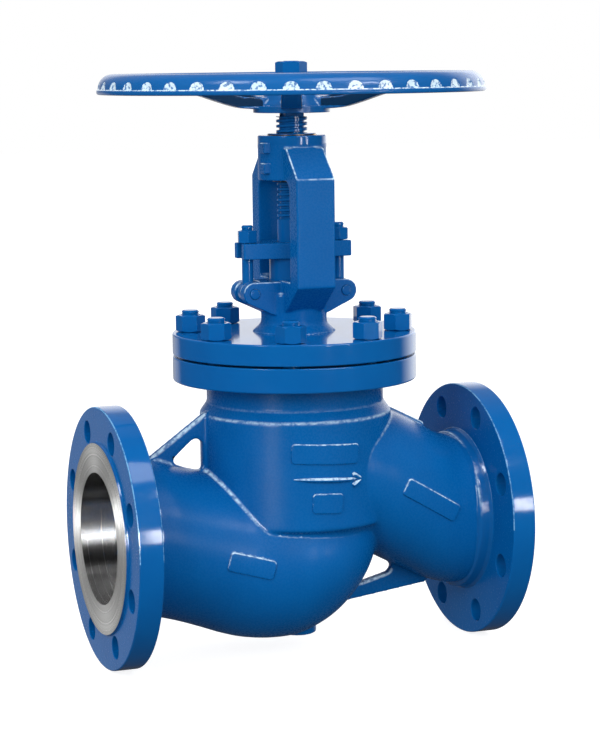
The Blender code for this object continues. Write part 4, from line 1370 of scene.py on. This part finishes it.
def world():
    """White behind, as the camera sees it; a soft sky for the fill and a dim studio for the reflections."""
    made = bpy.data.worlds.new("studio")
    bpy.context.scene.world = made
    made.use_nodes = True
    tree = made.node_tree
    back = tree.nodes["Background"]
    direction = node(tree, "ShaderNodeTexCoord").outputs["Generated"]
    parts = split(tree, direction)
    fill = mapped(tree, parts["Z"], -0.6, 0.8, 0.18, 1.25)
    shine = reckoned(tree, "ADD", mapped(tree, parts["Y"], -0.5, 0.9, 0.04, 0.07),
                     glow(tree, direction, STEEL_GLOW, 9, 17, 0.60),
                     glow(tree, direction, RIM_GLOW, 10, 30, 2.0),
                     glow(tree, direction, BACK_GLOW, 7, 24, 1.00),
                     glow(tree, direction, SKY_GLOW, 6, 50, 0.28))
    rays = node(tree, "ShaderNodeLightPath").outputs
    studio = node(tree, "ShaderNodeMix")
    tree.links.new(rays["Is Glossy Ray"], studio.inputs["Factor"])
    tree.links.new(fill, studio.inputs["A"])
    tree.links.new(shine, studio.inputs["B"])
    pick = node(tree, "ShaderNodeMix")
    tree.links.new(rays["Is Camera Ray"], pick.inputs["Factor"])
    tree.links.new(studio.outputs["Result"], pick.inputs["A"])
    pick.inputs["B"].default_value = 1.0
    tree.links.new(pick.outputs["Result"], back.inputs["Strength"])
    back.inputs["Color"].default_value = (1.0, 1.0, 1.0, 1.0)


def lights():
    middle = (0.0, 0.0, 0.2)
    softbox("left_fill", (-2.00, -1.40, 1.00), middle, 1.20, 1.20, 4.2, shine=False)
    softbox("front_fill", (0.30, -2.50, 1.10), middle, 1.40, 1.20, 4.0, shine=False)
    for name, x in (("left_strip", 0.30), ("right_strip", 1.00)):
        softbox(name, (x, -1.70, 0.30), (x - 0.45, -0.10, 0.0), 0.11, 0.32, 24.0)
    softbox("upper_right_box", (0.80, -1.55, 1.62), (0.0, 0.0, 0.3), 0.50, 0.22, 26.0)
    softbox("overhead_box", (0.45, -1.00, 2.30), (0.0, 0.0, 0.3), 1.30, 0.80, 4.0)
    softbox("upper_left_box", (-1.15, -0.65, 1.85), (0.0, 0.0, 0.2), 0.45, 0.45, 12.0)
    bore_spot((-0.95, -0.75, 0.12), (-0.20, 0.02, 0.0), 560.0)


def camera():
    """The photograph's viewpoint: 2.6 m away, 21 degrees to the left and a little above."""
    azimuth, turn = math.radians(-20.78), math.radians(-0.14)
    height, distance = 0.5316, 2.607
    pitch, roll = math.radians(7.60), math.radians(-0.64)
    image_height, focal_pixels, sensor = 732, 2266.2, 36.0
    spot = Vector((distance * math.sin(azimuth), -distance * math.cos(azimuth), height))
    heading = azimuth + turn
    level = math.cos(pitch)
    forward = Vector((-math.sin(heading) * level, math.cos(heading) * level, -math.sin(pitch)))
    right = Vector((math.cos(heading), math.sin(heading), 0))
    up = right.cross(forward)
    across = right * math.cos(roll) + up * math.sin(roll)
    upright = up * math.cos(roll) - right * math.sin(roll)
    lens = bpy.data.cameras.new("camera")
    lens.sensor_width = sensor
    lens.lens = focal_pixels * sensor / image_height
    obj = placed("camera", lens)
    columns = Matrix((across, upright, -forward)).transposed()
    obj.matrix_world = Matrix.Translation(spot) @ columns.to_4x4()
    bpy.context.scene.camera = obj


def build():
    valve_body()
    bonnet()
    bonnet_fasteners()
    seats_and_seals()
    gland(packing())
    gland_fasteners()
    yoke_nut()
    stem()
    handwheel()
    handwheel_nut()
    floor()
    world()
    lights()
    camera()


build()
bpy.context.scene.view_settings.view_transform = "Standard"
